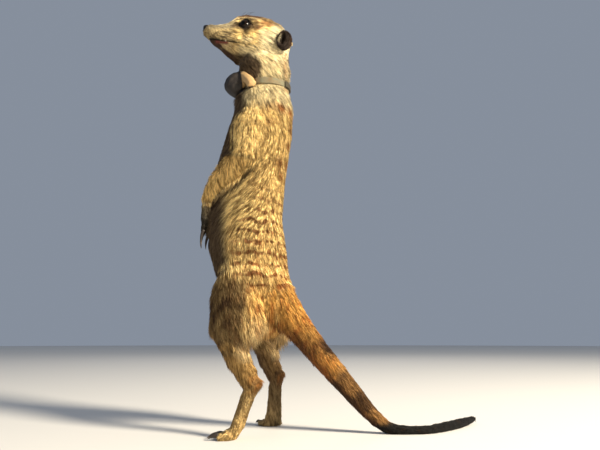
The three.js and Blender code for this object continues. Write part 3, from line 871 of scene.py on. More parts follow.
def attribute(tree, name, output="Fac"):
    """A value that is kept on the mesh."""
    node = tree.nodes.new("ShaderNodeAttribute")
    node.attribute_name = name
    return node.outputs[output]


def stepped(tree, value, low, high, to_low=0.0, to_high=1.0):
    """A smooth step between two values, as the input goes from low to high."""
    node = tree.nodes.new("ShaderNodeMapRange")
    node.interpolation_type = "SMOOTHSTEP"
    for item, socket in zip((value, low, high, to_low, to_high), node.inputs):
        plug(tree, item, socket)
    return node.outputs[0]


def noise(tree, scale, detail=2.0, roughness=0.5, vector=None):
    """A random field round 0.5; the scale is in patches per metre."""
    node = tree.nodes.new("ShaderNodeTexNoise")
    if vector is None:
        vector = tree.nodes.new("ShaderNodeTexCoord").outputs["Object"]
    tree.links.new(vector, node.inputs["Vector"])
    node.inputs["Scale"].default_value = scale
    node.inputs["Detail"].default_value = detail
    node.inputs["Roughness"].default_value = roughness
    return node.outputs["Fac"]


def bumped(tree, height, distance, strength=1.0):
    """A surface that looks raised by the height, of 0 to 1, times the distance."""
    node = tree.nodes.new("ShaderNodeBump")
    node.inputs["Distance"].default_value = distance
    node.inputs["Strength"].default_value = strength
    plug(tree, height, node.inputs["Height"])
    return node.outputs["Normal"]


def set_shader(tree, shader, colour, roughness, specular=0.5, normal=None):
    """Gives a material its colour, how rough and how shiny it is, and its bumps."""
    plug(tree, colour, shader.inputs["Base Color"])
    shader.inputs["Roughness"].default_value = roughness
    shader.inputs["Specular IOR Level"].default_value = specular
    if normal is not None:
        tree.links.new(normal, shader.inputs["Normal"])


def loin_bars(tree):
    """The bars over the loins, 0 to 1: level rows of upright dashes, wavy and broken."""
    place = tree.nodes.new("ShaderNodeTexCoord").outputs["Object"]
    apart = tree.nodes.new("ShaderNodeSeparateXYZ")
    tree.links.new(place, apart.inputs[0])
    flat = tree.nodes.new("ShaderNodeVectorMath")
    flat.operation = "MULTIPLY"
    plug(tree, place, flat.inputs[0])
    plug(tree, DASH_STRETCH, flat.inputs[1])
    wave = math_of(tree, "MULTIPLY_ADD", noise(tree, 95.0, 1.0), BAR_WAVE * MM, apart.outputs[2])
    turn = math_of(tree, "MULTIPLY_ADD", wave, 2 * math.pi / (BAR_STEP * MM),
                   -2 * math.pi * BAR_LEVEL / BAR_STEP)
    rows = math_of(tree, "MULTIPLY", math_of(tree, "COSINE", turn), ROW_WEIGHT)
    dashes = noise(tree, 320.0, 1.0, 0.5, flat.outputs[0])
    level = math_of(tree, "MULTIPLY_ADD", dashes, DASH_WEIGHT, rows)
    bar = stepped(tree, level, *BAR_LIMITS)
    return math_of(tree, "MULTIPLY", bar, attribute(tree, "marks", "Alpha"))


def marked_colour(tree, grain):
    """The coat's colour from the shares kept on the mesh. grain, 0 to 1, picks straw or tan."""
    first = tree.nodes.new("ShaderNodeSeparateColor")
    tree.links.new(attribute(tree, "marks", "Color"), first.inputs[0])
    second = tree.nodes.new("ShaderNodeSeparateColor")
    tree.links.new(attribute(tree, "tints", "Color"), second.inputs[0])
    colour = mixed(tree, grain, PALETTE["tan"], PALETTE["straw"])
    colour = mixed(tree, second.outputs[0], colour, PALETTE["gold"])
    colour = mixed(tree, first.outputs[2], colour, PALETTE["cream"])
    colour = mixed(tree, second.outputs[2], colour, PALETTE["grey"])
    colour = mixed(tree, loin_bars(tree), colour, PALETTE["umber"])
    colour = mixed(tree, first.outputs[0], colour, PALETTE["rust"])
    colour = mixed(tree, first.outputs[1], colour, PALETTE["brown"])
    colour = mixed(tree, second.outputs[1], colour, PALETTE["black"])
    return mixed(tree, attribute(tree, "tints", "Alpha"), colour, PALETTE["gum"])


def skin_material():
    material, tree, shader = new_material("short_under_coat")
    grain = stepped(tree, noise(tree, 900.0, 3.0), 0.3, 0.7)
    # The skin takes the coat's markings multiplied darker: painted shade beneath the hair.
    colour = mixed(tree, 1.0, marked_colour(tree, grain), (0.62, 0.58, 0.55), "MULTIPLY")
    set_shader(tree, shader, colour, 0.75, 0.25, bumped(tree, noise(tree, 1600.0, 4.0, 0.6), 0.0003, 0.7))
    return material


def coat_material():
    """Grizzled hair: each tuft has its own shade, a dark root, a bright middle and a dark tip."""
    material, tree, shader = new_material("grizzled_coat")
    own = attribute(tree, "tuft_shade")
    along = attribute(tree, "tuft_along")
    colour = marked_colour(tree, stepped(tree, own, 0.15, 0.75))
    root = stepped(tree, along, 0.0, 0.5, 0.60, 1.0)
    glow = stepped(tree, own, 0.1, 0.9, 0.50, 1.30)
    light = math_of(tree, "MULTIPLY", root, glow)
    shade = tree.nodes.new("ShaderNodeCombineColor")
    for socket in shade.inputs[:3]:
        tree.links.new(light, socket)
    colour = mixed(tree, 1.0, colour, shade.outputs[0], "MULTIPLY")
    ticked = math_of(tree, "MULTIPLY", stepped(tree, own, 0.22, 0.12), stepped(tree, along, 0.45, 0.8))
    ticked = math_of(tree, "MULTIPLY", ticked, 0.7)
    colour = mixed(tree, ticked, colour, PALETTE["brown"])
    set_shader(tree, shader, colour, 0.58, 0.16)
    return material


def floor_material():
    material, tree, shader = new_material("pale_floor")
    set_shader(tree, shader, (0.70, 0.68, 0.65), 0.85, 0.2)
    return material


# ---- coat -------------------------------------------------------------------------------------
# A tuft is a thin spindle: x across, y away from the skin, z along the hair.
TUFT_PLACES = [(0.0, 0.0, 0.0), (-0.5, 0.05, 0.36), (0.5, 0.05, 0.36), (0.0, 0.5, 0.40), (0.0, -0.1, 1.0)]
TUFT_SIDES = [(1, 3), (3, 2), (2, 1)]
TUFT_CORNERS = len(TUFT_PLACES)
TUFT_PATCH = 0.003          # the size of a tuft's patch on the OFBake map
ROOT_DEPTH = 0.2 * MM       # how far a tuft's root is sunk into the skin
COAT_INPUTS = {
    "Skin": "Geometry", "Region": "Int", "Tufts per Square Metre": "Float", "Seed": "Int",
    "Tuft Shape": "Object", "Coat Material": "Material", "Lock Size": "Float", "Lock Strength": "Float",
    "Ruffle": "Float", "Box Low": "Vector", "Box High": "Vector",
}
FIRST_SEED = 40             # of the first piece of coat; each piece after it takes the next number
MOST_SHARE = 2.0            # no piece grows more than this many times the density that COAT asks for


def tuft_shape():
    """One closed tuft of six triangles, whose faces are laid out side by side on its patch of the map."""
    faces, patches = [], []
    for i, (a, b) in enumerate(TUFT_SIDES):
        left, right, centre = i / 3, (i + 1) / 3, (i + 0.5) / 3
        faces += [(0, a, b), (a, 4, b)]
        patches.append([(centre, 0.0), (left, 0.4), (right, 0.4)])
        patches.append([(left, 0.4), (centre, 1.0), (right, 0.4)])
    shape = mesh_object("tuft_shape", TUFT_PLACES, faces)
    store(shape.data, "tuft_along", np.array([p[2] for p in TUFT_PLACES]))
    layer = shape.data.uv_layers.new(name="OFBake")
    for polygon, patch in zip(shape.data.polygons, patches):
        polygon.use_smooth = True
        for loop, uv in zip(polygon.loop_indices, patch):
            layer.data[loop].uv = uv
    shape.hide_render = True
    return shape


def add_node(tree, kind, *sources, **settings):
    """A node with its settings made and its inputs plugged in their order."""
    node = tree.nodes.new(kind)
    for name, value in settings.items():
        setattr(node, name, value)
    for source, socket in zip(sources, [socket for socket in node.inputs if socket.enabled]):
        if source is not None:
            plug(tree, source, socket)
    return node


def wired(tree, kind, sources):
    """A node with its inputs plugged by their names."""
    node = tree.nodes.new(kind)
    for name, source in sources.items():
        plug(tree, source, node.inputs[name])
    return node


def position(tree):
    return tree.nodes.new("GeometryNodeInputPosition").outputs[0]


def named(tree, name, kind="FLOAT"):
    """An attribute of the mesh that the nodes work on."""
    node = tree.nodes.new("GeometryNodeInputNamedAttribute")
    node.data_type = kind
    node.inputs["Name"].default_value = name
    return next(socket for socket in node.outputs if socket.enabled)


def kept(tree, geometry, name, value):
    """The geometry with a vector kept on it as a named attribute."""
    node = tree.nodes.new("GeometryNodeStoreNamedAttribute")
    node.data_type = "FLOAT_VECTOR"
    tree.links.new(geometry, node.inputs["Geometry"])
    node.inputs["Name"].default_value = name
    plug(tree, value, next(socket for socket in node.inputs if socket.name == "Value" and socket.enabled))
    return node.outputs[0]


def vector_of(tree, operation, a, b=None):
    """One step of arithmetic on vectors."""
    node = add_node(tree, "ShaderNodeVectorMath", a, b, operation=operation)
    return node.outputs["Value" if operation == "DOT_PRODUCT" else "Vector"]


def scaled(tree, a, factor):
    """A vector times a number."""
    node = tree.nodes.new("ShaderNodeVectorMath")
    node.operation = "SCALE"
    plug(tree, a, node.inputs[0])
    plug(tree, factor, node.inputs["Scale"])
    return node.outputs["Vector"]


def random_of(tree, low, high, seed, kind="FLOAT"):
    """A random value for each tuft."""
    node = tree.nodes.new("FunctionNodeRandomValue")
    node.data_type = kind
    inputs = [socket for socket in node.inputs if socket.enabled]
    plug(tree, low, inputs[0])
    plug(tree, high, inputs[1])
    next(socket for socket in node.inputs if socket.name == "Seed").default_value = seed
    return next(socket for socket in node.outputs if socket.enabled)


def varied(tree, name, low, high, seed):
    """An attribute of the skin times a random factor for each tuft."""
    return math_of(tree, "MULTIPLY", named(tree, name), random_of(tree, low, high, seed))


def scattered(tree, given):
    """Points over one region of the skin, each with its root and normal kept, and those normals."""
    same = add_node(tree, "FunctionNodeCompare", named(tree, "region", "INT"), given["Region"],
                    data_type="INT", operation="EQUAL")
    region = add_node(tree, "GeometryNodeSeparateGeometry", given["Skin"], same.outputs[0], domain="FACE")
    density = math_of(tree, "MULTIPLY", named(tree, "tuft_density"), given["Tufts per Square Metre"])
    scatter = wired(tree, "GeometryNodeDistributePointsOnFaces",
                    {"Mesh": region.outputs[0], "Density": density, "Seed": given["Seed"]})
    points = kept(tree, scatter.outputs["Points"], "tuft_root", position(tree))
    points = kept(tree, points, "tuft_normal", scatter.outputs["Normal"])
    return points, vector_of(tree, "NORMALIZE", scatter.outputs["Normal"])


def turn_of_tufts(tree, given, normal):
    """How each tuft is turned: along the lie, in locks, a little ruffled and rolled, and lifted."""
    locks = wired(tree, "ShaderNodeTexNoise", {
        "Vector": position(tree), "Scale": math_of(tree, "DIVIDE", 1.0, given["Lock Size"]), "Detail": 1.0})
    drift = vector_of(tree, "SUBTRACT", locks.outputs["Color"], (0.5, 0.5, 0.5))
    drift = scaled(tree, drift, given["Lock Strength"])
    ruffle = random_of(tree, (-1.0, -1.0, -1.0), (1.0, 1.0, 1.0), 12, "FLOAT_VECTOR")
    lie = vector_of(tree, "ADD", named(tree, "lie", "FLOAT_VECTOR"), drift)
    lie = vector_of(tree, "ADD", lie, scaled(tree, ruffle, given["Ruffle"]))
    lie = vector_of(tree, "SUBTRACT", lie, scaled(tree, normal, vector_of(tree, "DOT_PRODUCT", lie, normal)))
    lift = varied(tree, "tuft_lift", 0.55, 1.45, 13)
    heading = vector_of(tree, "ADD", vector_of(tree, "NORMALIZE", lie), scaled(tree, normal, lift))
    turn = add_node(tree, "FunctionNodeAxesToRotation", heading, normal,
                    primary_axis="Z", secondary_axis="Y")
    roll = add_node(tree, "FunctionNodeAxisAngleToRotation", (0.0, 0.0, 1.0),
                    random_of(tree, -0.6, 0.6, 14))
    return add_node(tree, "FunctionNodeRotateRotation", turn.outputs[0], roll.outputs[0],
                    rotation_space="LOCAL").outputs[0]


def coat_tree():
    """The coat's Geometry Nodes: scatters tufts over one region of the skin and lays them along its hair."""
    tree = bpy.data.node_groups.new("coat_tufts", "GeometryNodeTree")
    tree.interface.new_socket("Geometry", in_out="OUTPUT", socket_type="NodeSocketGeometry")
    for name, kind in COAT_INPUTS.items():
        tree.interface.new_socket(name, in_out="INPUT", socket_type=f"NodeSocket{kind}")
    given = tree.nodes.new("NodeGroupInput").outputs
    points, normal = scattered(tree, given)
    turn = turn_of_tufts(tree, given, normal)
    width = varied(tree, "tuft_width", 0.7, 1.25, 15)
    length = varied(tree, "tuft_length", 0.7, 1.2, 16)
    size = add_node(tree, "ShaderNodeCombineXYZ", width, width, length)
    sunk = wired(tree, "GeometryNodeSetPosition",
                 {"Geometry": points, "Offset": scaled(tree, normal, -ROOT_DEPTH)})
    shape = add_node(tree, "GeometryNodeObjectInfo", given["Tuft Shape"])
    tufts = wired(tree, "GeometryNodeInstanceOnPoints", {
        "Points": sunk.outputs[0], "Instance": shape.outputs["Geometry"], "Rotation": turn,
        "Scale": size.outputs[0]})
    whole = add_node(tree, "GeometryNodeRealizeInstances", tufts.outputs[0])
    # Nothing of the coat goes outside the box of the whole body, or below the floor.
    place = vector_of(tree, "MAXIMUM", position(tree), given["Box Low"])
    place = vector_of(tree, "MINIMUM", place, given["Box High"])
    inside = wired(tree, "GeometryNodeSetPosition", {"Geometry": whole.outputs[0], "Position": place})
    coloured = wired(tree, "GeometryNodeSetMaterial",
                     {"Geometry": inside.outputs[0], "Material": given["Coat Material"]})
    tree.links.new(coloured.outputs[0], tree.nodes.new("NodeGroupOutput").inputs[0])
    return tree


def unrolled(points, lines):
    """Unrolls places on the skin round the lines that run inside the body: u round, v along."""
    best = np.full(len(points), np.inf)
    uv = np.zeros((len(points), 2))
    for number, line in enumerate(lines):
        line = np.array(line)
        lengths = np.linalg.norm(np.diff(line, axis=0), axis=1)
        starts = np.concatenate([[0.0], np.cumsum(lengths)])
        for i, length in enumerate(lengths):
            axis = (line[i + 1] - line[i]) / length
            ray = points - line[i]
            first, last = i == 0, i == len(lengths) - 1
            run = np.clip(ray @ axis, -0.03 if first else 0.0, length + (0.03 if last else 0.0))
            off = ray - run[:, None] * axis
            gap = np.linalg.norm(off, axis=1)
            side = unit(np.cross(axis, np.array([0.31, 0.2, 0.93])))
            angle = np.arctan2(off @ np.cross(axis, side), off @ side) / (2 * math.pi) + 0.5
            v = (0.03 + starts[i] + run) / (starts[-1] + 0.06)
            nearer = gap < best
            best = np.where(nearer, gap, best)
            place = np.stack([(number + 0.02 + 0.96 * angle) / len(lines), 0.01 + 0.98 * v], axis=1)
            uv = np.where(nearer[:, None], place, uv)
    return uv


def vector_of_each(mesh, name):
    """A vector for each tuft of a coat piece, read from a named attribute."""
    flat = np.empty(len(mesh.vertices) * 3, dtype=np.float32)
    mesh.attributes[name].data.foreach_get("vector", flat)
    return flat.reshape(-1, 3).astype(float)[::TUFT_CORNERS]


def streaks(points, along, size, reach, seed):
    """A random field between 0 and 1 that is drawn out along the hair."""
    steps = np.linspace(-reach, reach, 9)
    total = sum(mottle(points + along * step, size, seed) for step in steps)
    return np.clip(0.5 + 0.3 * (total - total.mean()) / total.std(), 0.0, 1.0)


def bake_map(mesh, roots, lines):
    """Moves each tuft's patch of the OFBake map to its root's place on the unrolled skin."""
    place = unrolled(roots, lines)
    corners = np.empty(len(mesh.loops), dtype=np.int32)
    mesh.loops.foreach_get("vertex_index", corners)
    layer = mesh.uv_layers["OFBake"]
    flat = np.empty(len(mesh.loops) * 2, dtype=np.float32)
    layer.data.foreach_get("uv", flat)
    uv = place[corners // TUFT_CORNERS] + (flat.reshape(-1, 2) - 0.5) * TUFT_PATCH
    layer.data.foreach_set("uv", uv.astype(np.float32).ravel())


def keep_marks(mesh, shares):
    """Keeps the shares of the colours on a mesh, as the skin and the coat both read them."""
    store(mesh, "marks", np.stack([shares["rust"], shares["brown"], shares["cream"], shares["bars"]], 1),
          "FLOAT_COLOR")
    store(mesh, "tints", np.stack([shares["gold"], shares["black"], shares["grey"], shares["gum"]], 1),
          "FLOAT_COLOR")


def colour_coat(mesh, roots, seed):
    """Marks each tuft by the place of the part of it that shows, so that the markings stay crisp."""
    normals = vector_of_each(mesh, "tuft_normal")
    parts = part_numbers(roots, flesh_tree, flesh_owners)
    tips = places_of(mesh)[TUFT_CORNERS - 1::TUFT_CORNERS]
    shares = markings(roots * 0.25 + tips * 0.75, parts, normals)
    keep_marks(mesh, {name: np.repeat(share, TUFT_CORNERS) for name, share in shares.items()})
    own = np.random.RandomState(seed).rand(len(roots))
    own = 0.3 * own + 0.7 * streaks(roots, unit(tips - roots), 0.75 * MM, 4.0 * MM, seed)
    store(mesh, "tuft_shade", np.repeat(own, TUFT_CORNERS))


def grow_coat(skin, name, settings):
    """One piece of coat as a plain mesh, grown on a copy of the skin."""
    coat = bpy.data.objects.new(name, skin.data.copy())
    bpy.context.scene.collection.objects.link(coat)
    modifier = coat.modifiers.new("coat", "NODES")
    modifier.node_group = coat_group
    for socket in coat_group.interface.items_tree:
        if socket.name in settings:
            modifier[socket.identifier] = settings[socket.name]
    coat.update_tag()
    mesh = evaluated_mesh(coat)
    coat.modifiers.clear()
    coat.data = mesh
    mesh.name = name
    return coat


def make_coats(skin, regions, areas, material):
    """The pieces of the coat, each with a map along the body and its own colours."""
    shape = tuft_shape()
    density = np.empty(len(skin.data.vertices), dtype=np.float32)
    skin.data.attributes["tuft_density"].data.foreach_get("value", density)
    corners = np.array([polygon.vertices[:] for polygon in skin.data.polygons])
    expected = density[corners].mean(axis=1) * areas
    settings = {"Tuft Shape": shape, "Coat Material": material, "Lock Size": 4.5 * MM,
                "Lock Strength": 0.45, "Ruffle": 0.12,
                "Box Low": [value + FLOOR_GAP for value in cad_bounds[0]],
                "Box High": [value - FLOOR_GAP for value in cad_bounds[1]]}
    coats = []
    for number, name in enumerate(COAT_PIECES):
        share = min(MOST_SHARE, MOST_TUFTS / expected[regions == number].sum())
        own = {"Region": number, "Tufts per Square Metre": share, "Seed": FIRST_SEED + number}
        coat = grow_coat(skin, name, {**settings, **own})
        mesh = coat.data
        roots = vector_of_each(mesh, "tuft_root")
        bake_map(mesh, roots, BODY_LINES[name])
        colour_coat(mesh, roots, FIRST_SEED + number)
        for spare in ("tuft_root", "tuft_normal"):
            mesh.attributes.remove(mesh.attributes[spare])
        coats.append(coat)
    bpy.data.objects.remove(shape)
    return coats


def line_through(*nodes):
    return [middle(node) for node in nodes]


HEAD_LINE = [from_face((-36, 0, -8)), from_face((24, 0, -3))]
TRUNK_LINE = line_through("pelvis", "abdomen", "chest", "neck")
BODY_LINES = {
    "coat_face": [HEAD_LINE],
    "coat_crown": [HEAD_LINE],
    "coat_chest": [TRUNK_LINE],
    "coat_abdomen": [TRUNK_LINE],
    "coat_haunches": [TRUNK_LINE] + [line_through(f"thigh_{s}", f"shin_{s}") for s in SIDES],
    "coat_arms": [line_through(f"upper_arm_{s}", f"forearm_{s}", f"hand_{s}") for s in SIDES],
    "coat_legs": [line_through(f"shin_{s}", f"foot_{s}") for s in SIDES],
    "coat_tail": [line_through("tail_base", "tail_middle", "tail_low", "tail_tip"),
                  line_through("chest", "neck", "head")],
}


def open_share(places, face, on_head):
    """1 where tufts grow and 0 round the eyes and the nose; few grow in the mouth."""
    share = ramp(EYE_RADIUS + 0.9, EYE_RADIUS + 1.8, nearest_of_pair(face, EYE_PLACE))
    share *= ramp(2.6, 3.6, np.linalg.norm(places - middle("nose"), axis=1) / MM)
    in_mouth = np.exp(-((face[:, 2] - lip_line(face[:, 0])) / 0.6) ** 2) * ramp(3, 6, face[:, 0]) * on_head
    return share * (1 - 0.9 * in_mouth)


def dress_skin(skin, tree, owners):
    """Works out the lie, sizes and markings of the coat and keeps them on the skin."""
    mesh = skin.data
    places, edges, normals = places_of(mesh), edges_of(mesh), normals_of(mesh)
    parts = part_numbers(places, tree, owners)
    store(mesh, "lie", lie_of_coat(places, edges, normals, parts), "FLOAT_VECTOR")
    face = to_face(places)
    on_head = np.isin(kinds_of(parts), ["head", "lower_jaw"])
    to_muzzle = ramp(-14, 22, face[:, 0]) * on_head
    occiput = np.maximum(ramp(-22, -29, face[:, 0]) * on_head, nape_of(face))
    fringe = fringe_of(places, parts, normals)
    length = relaxed(by_part(parts, LENGTH), edges, 14) * (1 - 0.62 * to_muzzle) * (1 - 0.5 * occiput)
    length = length + 4.5 * relaxed(fringe, edges, 4)
    lift = relaxed(by_part(parts, LIFT) + 9.0 * fringe, edges, 8) - 7.0 * occiput
    width = relaxed(by_part(parts, WIDTH), edges, 14) * (1 - 0.3 * to_muzzle)
    density = relaxed(by_part(parts, DENSITY), edges, 6) * open_share(places, face, on_head)
    store(mesh, "tuft_length", length * MM)
    store(mesh, "tuft_width", width * MM)
    store(mesh, "tuft_lift", np.tan(np.radians(lift)))
    store(mesh, "tuft_density", density / MM ** 2)
    shares = markings(places, parts, normals)
    keep_marks(mesh, {name: relaxed(share, edges, 1) for name, share in shares.items()})


def coat_regions(mesh, tree, owners):
    """The number of the coat piece that each face of the skin belongs to, and each face's area."""
    count = len(mesh.polygons)
    centres, areas = np.empty(count * 3), np.empty(count)
    mesh.polygons.foreach_get("center", centres)
    mesh.polygons.foreach_get("area", areas)
    centres = centres.reshape(-1, 3)
    kinds = kinds_of(part_numbers(centres, tree, owners))
    regions = np.full(count, -1)
    for number, covered in enumerate(COAT_PIECES.values()):
        regions[np.isin(kinds, covered)] = number
    front = (to_face(centres)[:, 0] > -12) & (kinds == "head")
    regions[front] = list(COAT_PIECES).index("coat_face")
    region = mesh.attributes.new("region", "INT", "FACE")
    region.data.foreach_set("value", regions.astype(np.int32))
    return regions, areas


# ---- eyes, nose and claws ---------------------------------------------------------------------
def finish(piece, material):
    """Gives a piece its material, smooth faces that point out, and its place on the body."""
    piece.data.materials.clear()
    piece.data.materials.append(material)
    bm = bmesh.new()
    bm.from_mesh(piece.data)
    bmesh.ops.recalc_face_normals(bm, faces=bm.faces)
    for face in bm.faces:
        face.smooth = True
    bm.to_mesh(piece.data)
    bm.free()
    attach(piece, "root")


def globe(rows, turns):
    """Unit directions and faces of a closed ball whose poles lie on x."""
    places = [(1.0, 0.0, 0.0)]
    for row in range(1, rows):
        polar = math.pi * row / rows
        places += [(math.cos(polar), math.sin(polar) * math.cos(2 * math.pi * t / turns),
                    math.sin(polar) * math.sin(2 * math.pi * t / turns)) for t in range(turns)]
    places.append((-1.0, 0.0, 0.0))
    faces = [(0, 1 + t, 1 + (t + 1) % turns) for t in range(turns)]
    for row in range(rows - 2):
        a = 1 + row * turns
        faces += [(a + t, a + turns + t, a + turns + (t + 1) % turns, a + (t + 1) % turns)
                  for t in range(turns)]
    last = len(places) - 1
    faces += [(last, last - turns + (t + 1) % turns, last - turns + t) for t in range(turns)]
    return np.array(places), faces


def make_eye(side):
    """A round eyeball with a low cornea; the iris is kept as the turn from the line of sight."""
    node = f"eye_{side}"
    flip = np.array([1, 1 if side == "left" else -1, 1])
    look = unit((EYE_LOOK * flip) @ FACE_AXES)
    across = unit(np.cross(look, np.array([0.0, 0.0, 1.0])))
    rise = np.cross(across, look)
    ball, faces = globe(28, 40)
    sight = ball[:, 0]
    radius = EYE_RADIUS * MM * (1.0 + 0.035 * ramp(0.72, 0.95, sight))
    places = middle(node) + ball @ np.array([look, across, rise]) * radius[:, None]
    eye = mesh_object(f"eyeball_{side}", places, faces)
    store(eye.data, "off_sight", np.degrees(np.arccos(np.clip(sight, -1, 1))))
    finish(eye, eye_material())
    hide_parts(node)


def eye_material():
    if "wet_eye" in bpy.data.materials:
        return bpy.data.materials["wet_eye"]
    material, tree, shader = new_material("wet_eye")
    off = attribute(tree, "off_sight")
    iris = mixed(tree, noise(tree, 1500.0, 3.0), (0.005, 0.003, 0.002), (0.014, 0.007, 0.004))
    colour = mixed(tree, stepped(tree, off, 19.0, 22.0), (0.001, 0.001, 0.001), iris)
    colour = mixed(tree, stepped(tree, off, 36.0, 42.0), colour, (0.003, 0.002, 0.002))
    set_shader(tree, shader, colour, 0.07, 0.12)
    return material


def leather_material():
    material, tree, shader = new_material("pebbled_nose_leather")
    cells = tree.nodes.new("ShaderNodeTexVoronoi")
    tree.links.new(tree.nodes.new("ShaderNodeTexCoord").outputs["Object"], cells.inputs["Vector"])
    cells.inputs["Scale"].default_value = 2600.0
    pebble = stepped(tree, cells.outputs["Distance"], 0.0, 0.6, 1.0, 0.0)
    colour = mixed(tree, pebble, (0.008, 0.007, 0.007), (0.022, 0.018, 0.017))
    set_shader(tree, shader, colour, 0.42, 0.4, bumped(tree, pebble, 0.0001, 0.6))
    return material


def make_nose():
    """The bare nose pad: two comma-shaped nostrils, with a groove between them running to the lip."""
    ball, faces = globe(44, 56)
    centre = to_face(middle("nose"))
    places = ball * [2.9, 3.0, 2.6]
    x, y, z = places.T
    side = np.abs(y)
    dent = 1.25 * np.exp(-(((side - 1.75) / 0.62) ** 2 + ((z + 0.15) / 0.72) ** 2)) * (x > 0)
    slit = 0.7 * np.exp(-(((side - 2.75) / 0.6) ** 2 + ((z + 0.75 + 0.3 * (side - 2.4)) / 0.3) ** 2))
    groove = 0.35 * np.exp(-((y / 0.28) ** 2)) * ramp(0.9, -0.6, z) * (x > 0)
    wing = 0.22 * np.exp(-(((side - 2.3) / 0.9) ** 2 + ((z - 0.9) / 0.6) ** 2))
    flat = 0.35 * ramp(2.4, 3.1, x)
    places = places + unit(places) * (wing - dent - slit - groove - flat)[:, None]
    nose = mesh_object("nose_pad", from_face(centre + places), faces)
    finish(nose, leather_material())
    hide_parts("nose")


def tube(line, wide, deep, across, sides):
    """A closed tube along a line, from its half widths across and down at each place; both ends close."""
    line = np.asarray(line)
    along = unit(np.gradient(line, axis=0))
    across = unit(across - along * np.sum(along * across, axis=1, keepdims=True))
    up = np.cross(along, across)
    angles = 2 * math.pi * np.arange(sides) / sides
    rings = (line[:, None] + across[:, None] * (np.cos(angles)[None, :, None] * wide[:, None, None])
             + up[:, None] * (np.sin(angles)[None, :, None] * deep[:, None, None]))
    places = np.concatenate([rings.reshape(-1, 3), line[:1] - along[:1] * wide[0] * 0.4,
                             line[-1:] + along[-1:] * wide[-1] * 0.8])
    faces = []
    for row in range(len(line) - 1):
        a = row * sides
        faces += [(a + i, a + (i + 1) % sides, a + sides + (i + 1) % sides, a + sides + i)
                  for i in range(sides)]
    start, end, last = len(places) - 2, len(places) - 1, (len(line) - 1) * sides
    for i in range(sides):
        faces += [(start, (i + 1) % sides, i), (end, last + i, last + (i + 1) % sides)]
    return places, faces


def in_box(places):
    """Places brought inside the box of the whole body."""
    return np.clip(places, np.array(cad_bounds[0]) + FLOOR_GAP, np.array(cad_bounds[1]) - FLOOR_GAP)


def horn_material():
    material, tree, shader = new_material("dark_claw_horn")
    along = attribute(tree, "claw_along")
    streaks = noise(tree, 1400.0, 2.0)
    horn = mixed(tree, streaks, (0.016, 0.012, 0.010), (0.045, 0.032, 0.024))
    horn = mixed(tree, stepped(tree, along, 0.6, 1.0), horn, (0.13, 0.10, 0.075))
    tree.links.new(horn, shader.inputs["Base Color"])
    shader.inputs["Roughness"].default_value = 0.5
    shader.inputs["Specular IOR Level"].default_value = 0.3
    return material


def make_claws(limb, material):
    """Curved, tapering claws for one hand or foot, each along the line of its own node."""
    names = [f"claw_{limb}_{i}" for i in range(1, 5)]
    shapes, share = [], []
    for name in names:
        corners = places_of(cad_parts[name].data)
        centre = corners.mean(axis=0)
        axis = np.linalg.svd(corners - centre, full_matrices=False)[2][0]
        if (centre - middle(limb)) @ axis < 0:
            axis = -axis
        t = (corners - centre) @ axis
        terms = np.stack([np.ones_like(t), t, t * t], axis=1)
        bend = np.linalg.lstsq(terms, corners, rcond=None)[0]
        steps = np.linspace(t.min() - 0.8 * MM, t.max() - 0.1 * MM, 11)
        line = np.stack([np.ones_like(steps), steps, steps * steps], axis=1) @ bend
        run = np.linspace(0.0, 1.0, len(steps))
        thick = (0.95 * (1 - run ** 1.7) + 0.10) * MM
        across = np.cross(axis, [0.0, 0.0, 1.0])
        places, faces = tube(line, thick * 0.8, thick * 1.12, across, 12)
        shapes.append((in_box(places), faces))
        share.append(np.concatenate([np.repeat(run, 12), [0.0, 1.0]]))
    places, faces = joined(shapes)
    claws = mesh_object(f"claws_{limb}", places, faces)
    store(claws.data, "claw_along", np.concatenate(share))
    finish(claws, material)
    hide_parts(*names)


def whisker_material():
    material, tree, shader = new_material("whisker_hair")
    colour = mixed(tree, noise(tree, 300.0), (0.016, 0.011, 0.008), (0.06, 0.04, 0.026))
    set_shader(tree, shader, colour, 0.5)
    return material


def enamel_material():
    material, tree, shader = new_material("tooth_enamel")
    colour = mixed(tree, noise(tree, 900.0), (0.62, 0.48, 0.31), (0.80, 0.70, 0.54))
    set_shader(tree, shader, colour, 0.35)
    return material


def on_skin(tree, x, z, side=1):
    """The place on the side of the face at x and z in the face's own frame."""
    start = from_face((x, 30.0 * side, z))
    return tree.ray_cast(Vector(start), Vector(from_face((x, 0.0, z)) - start))[0]


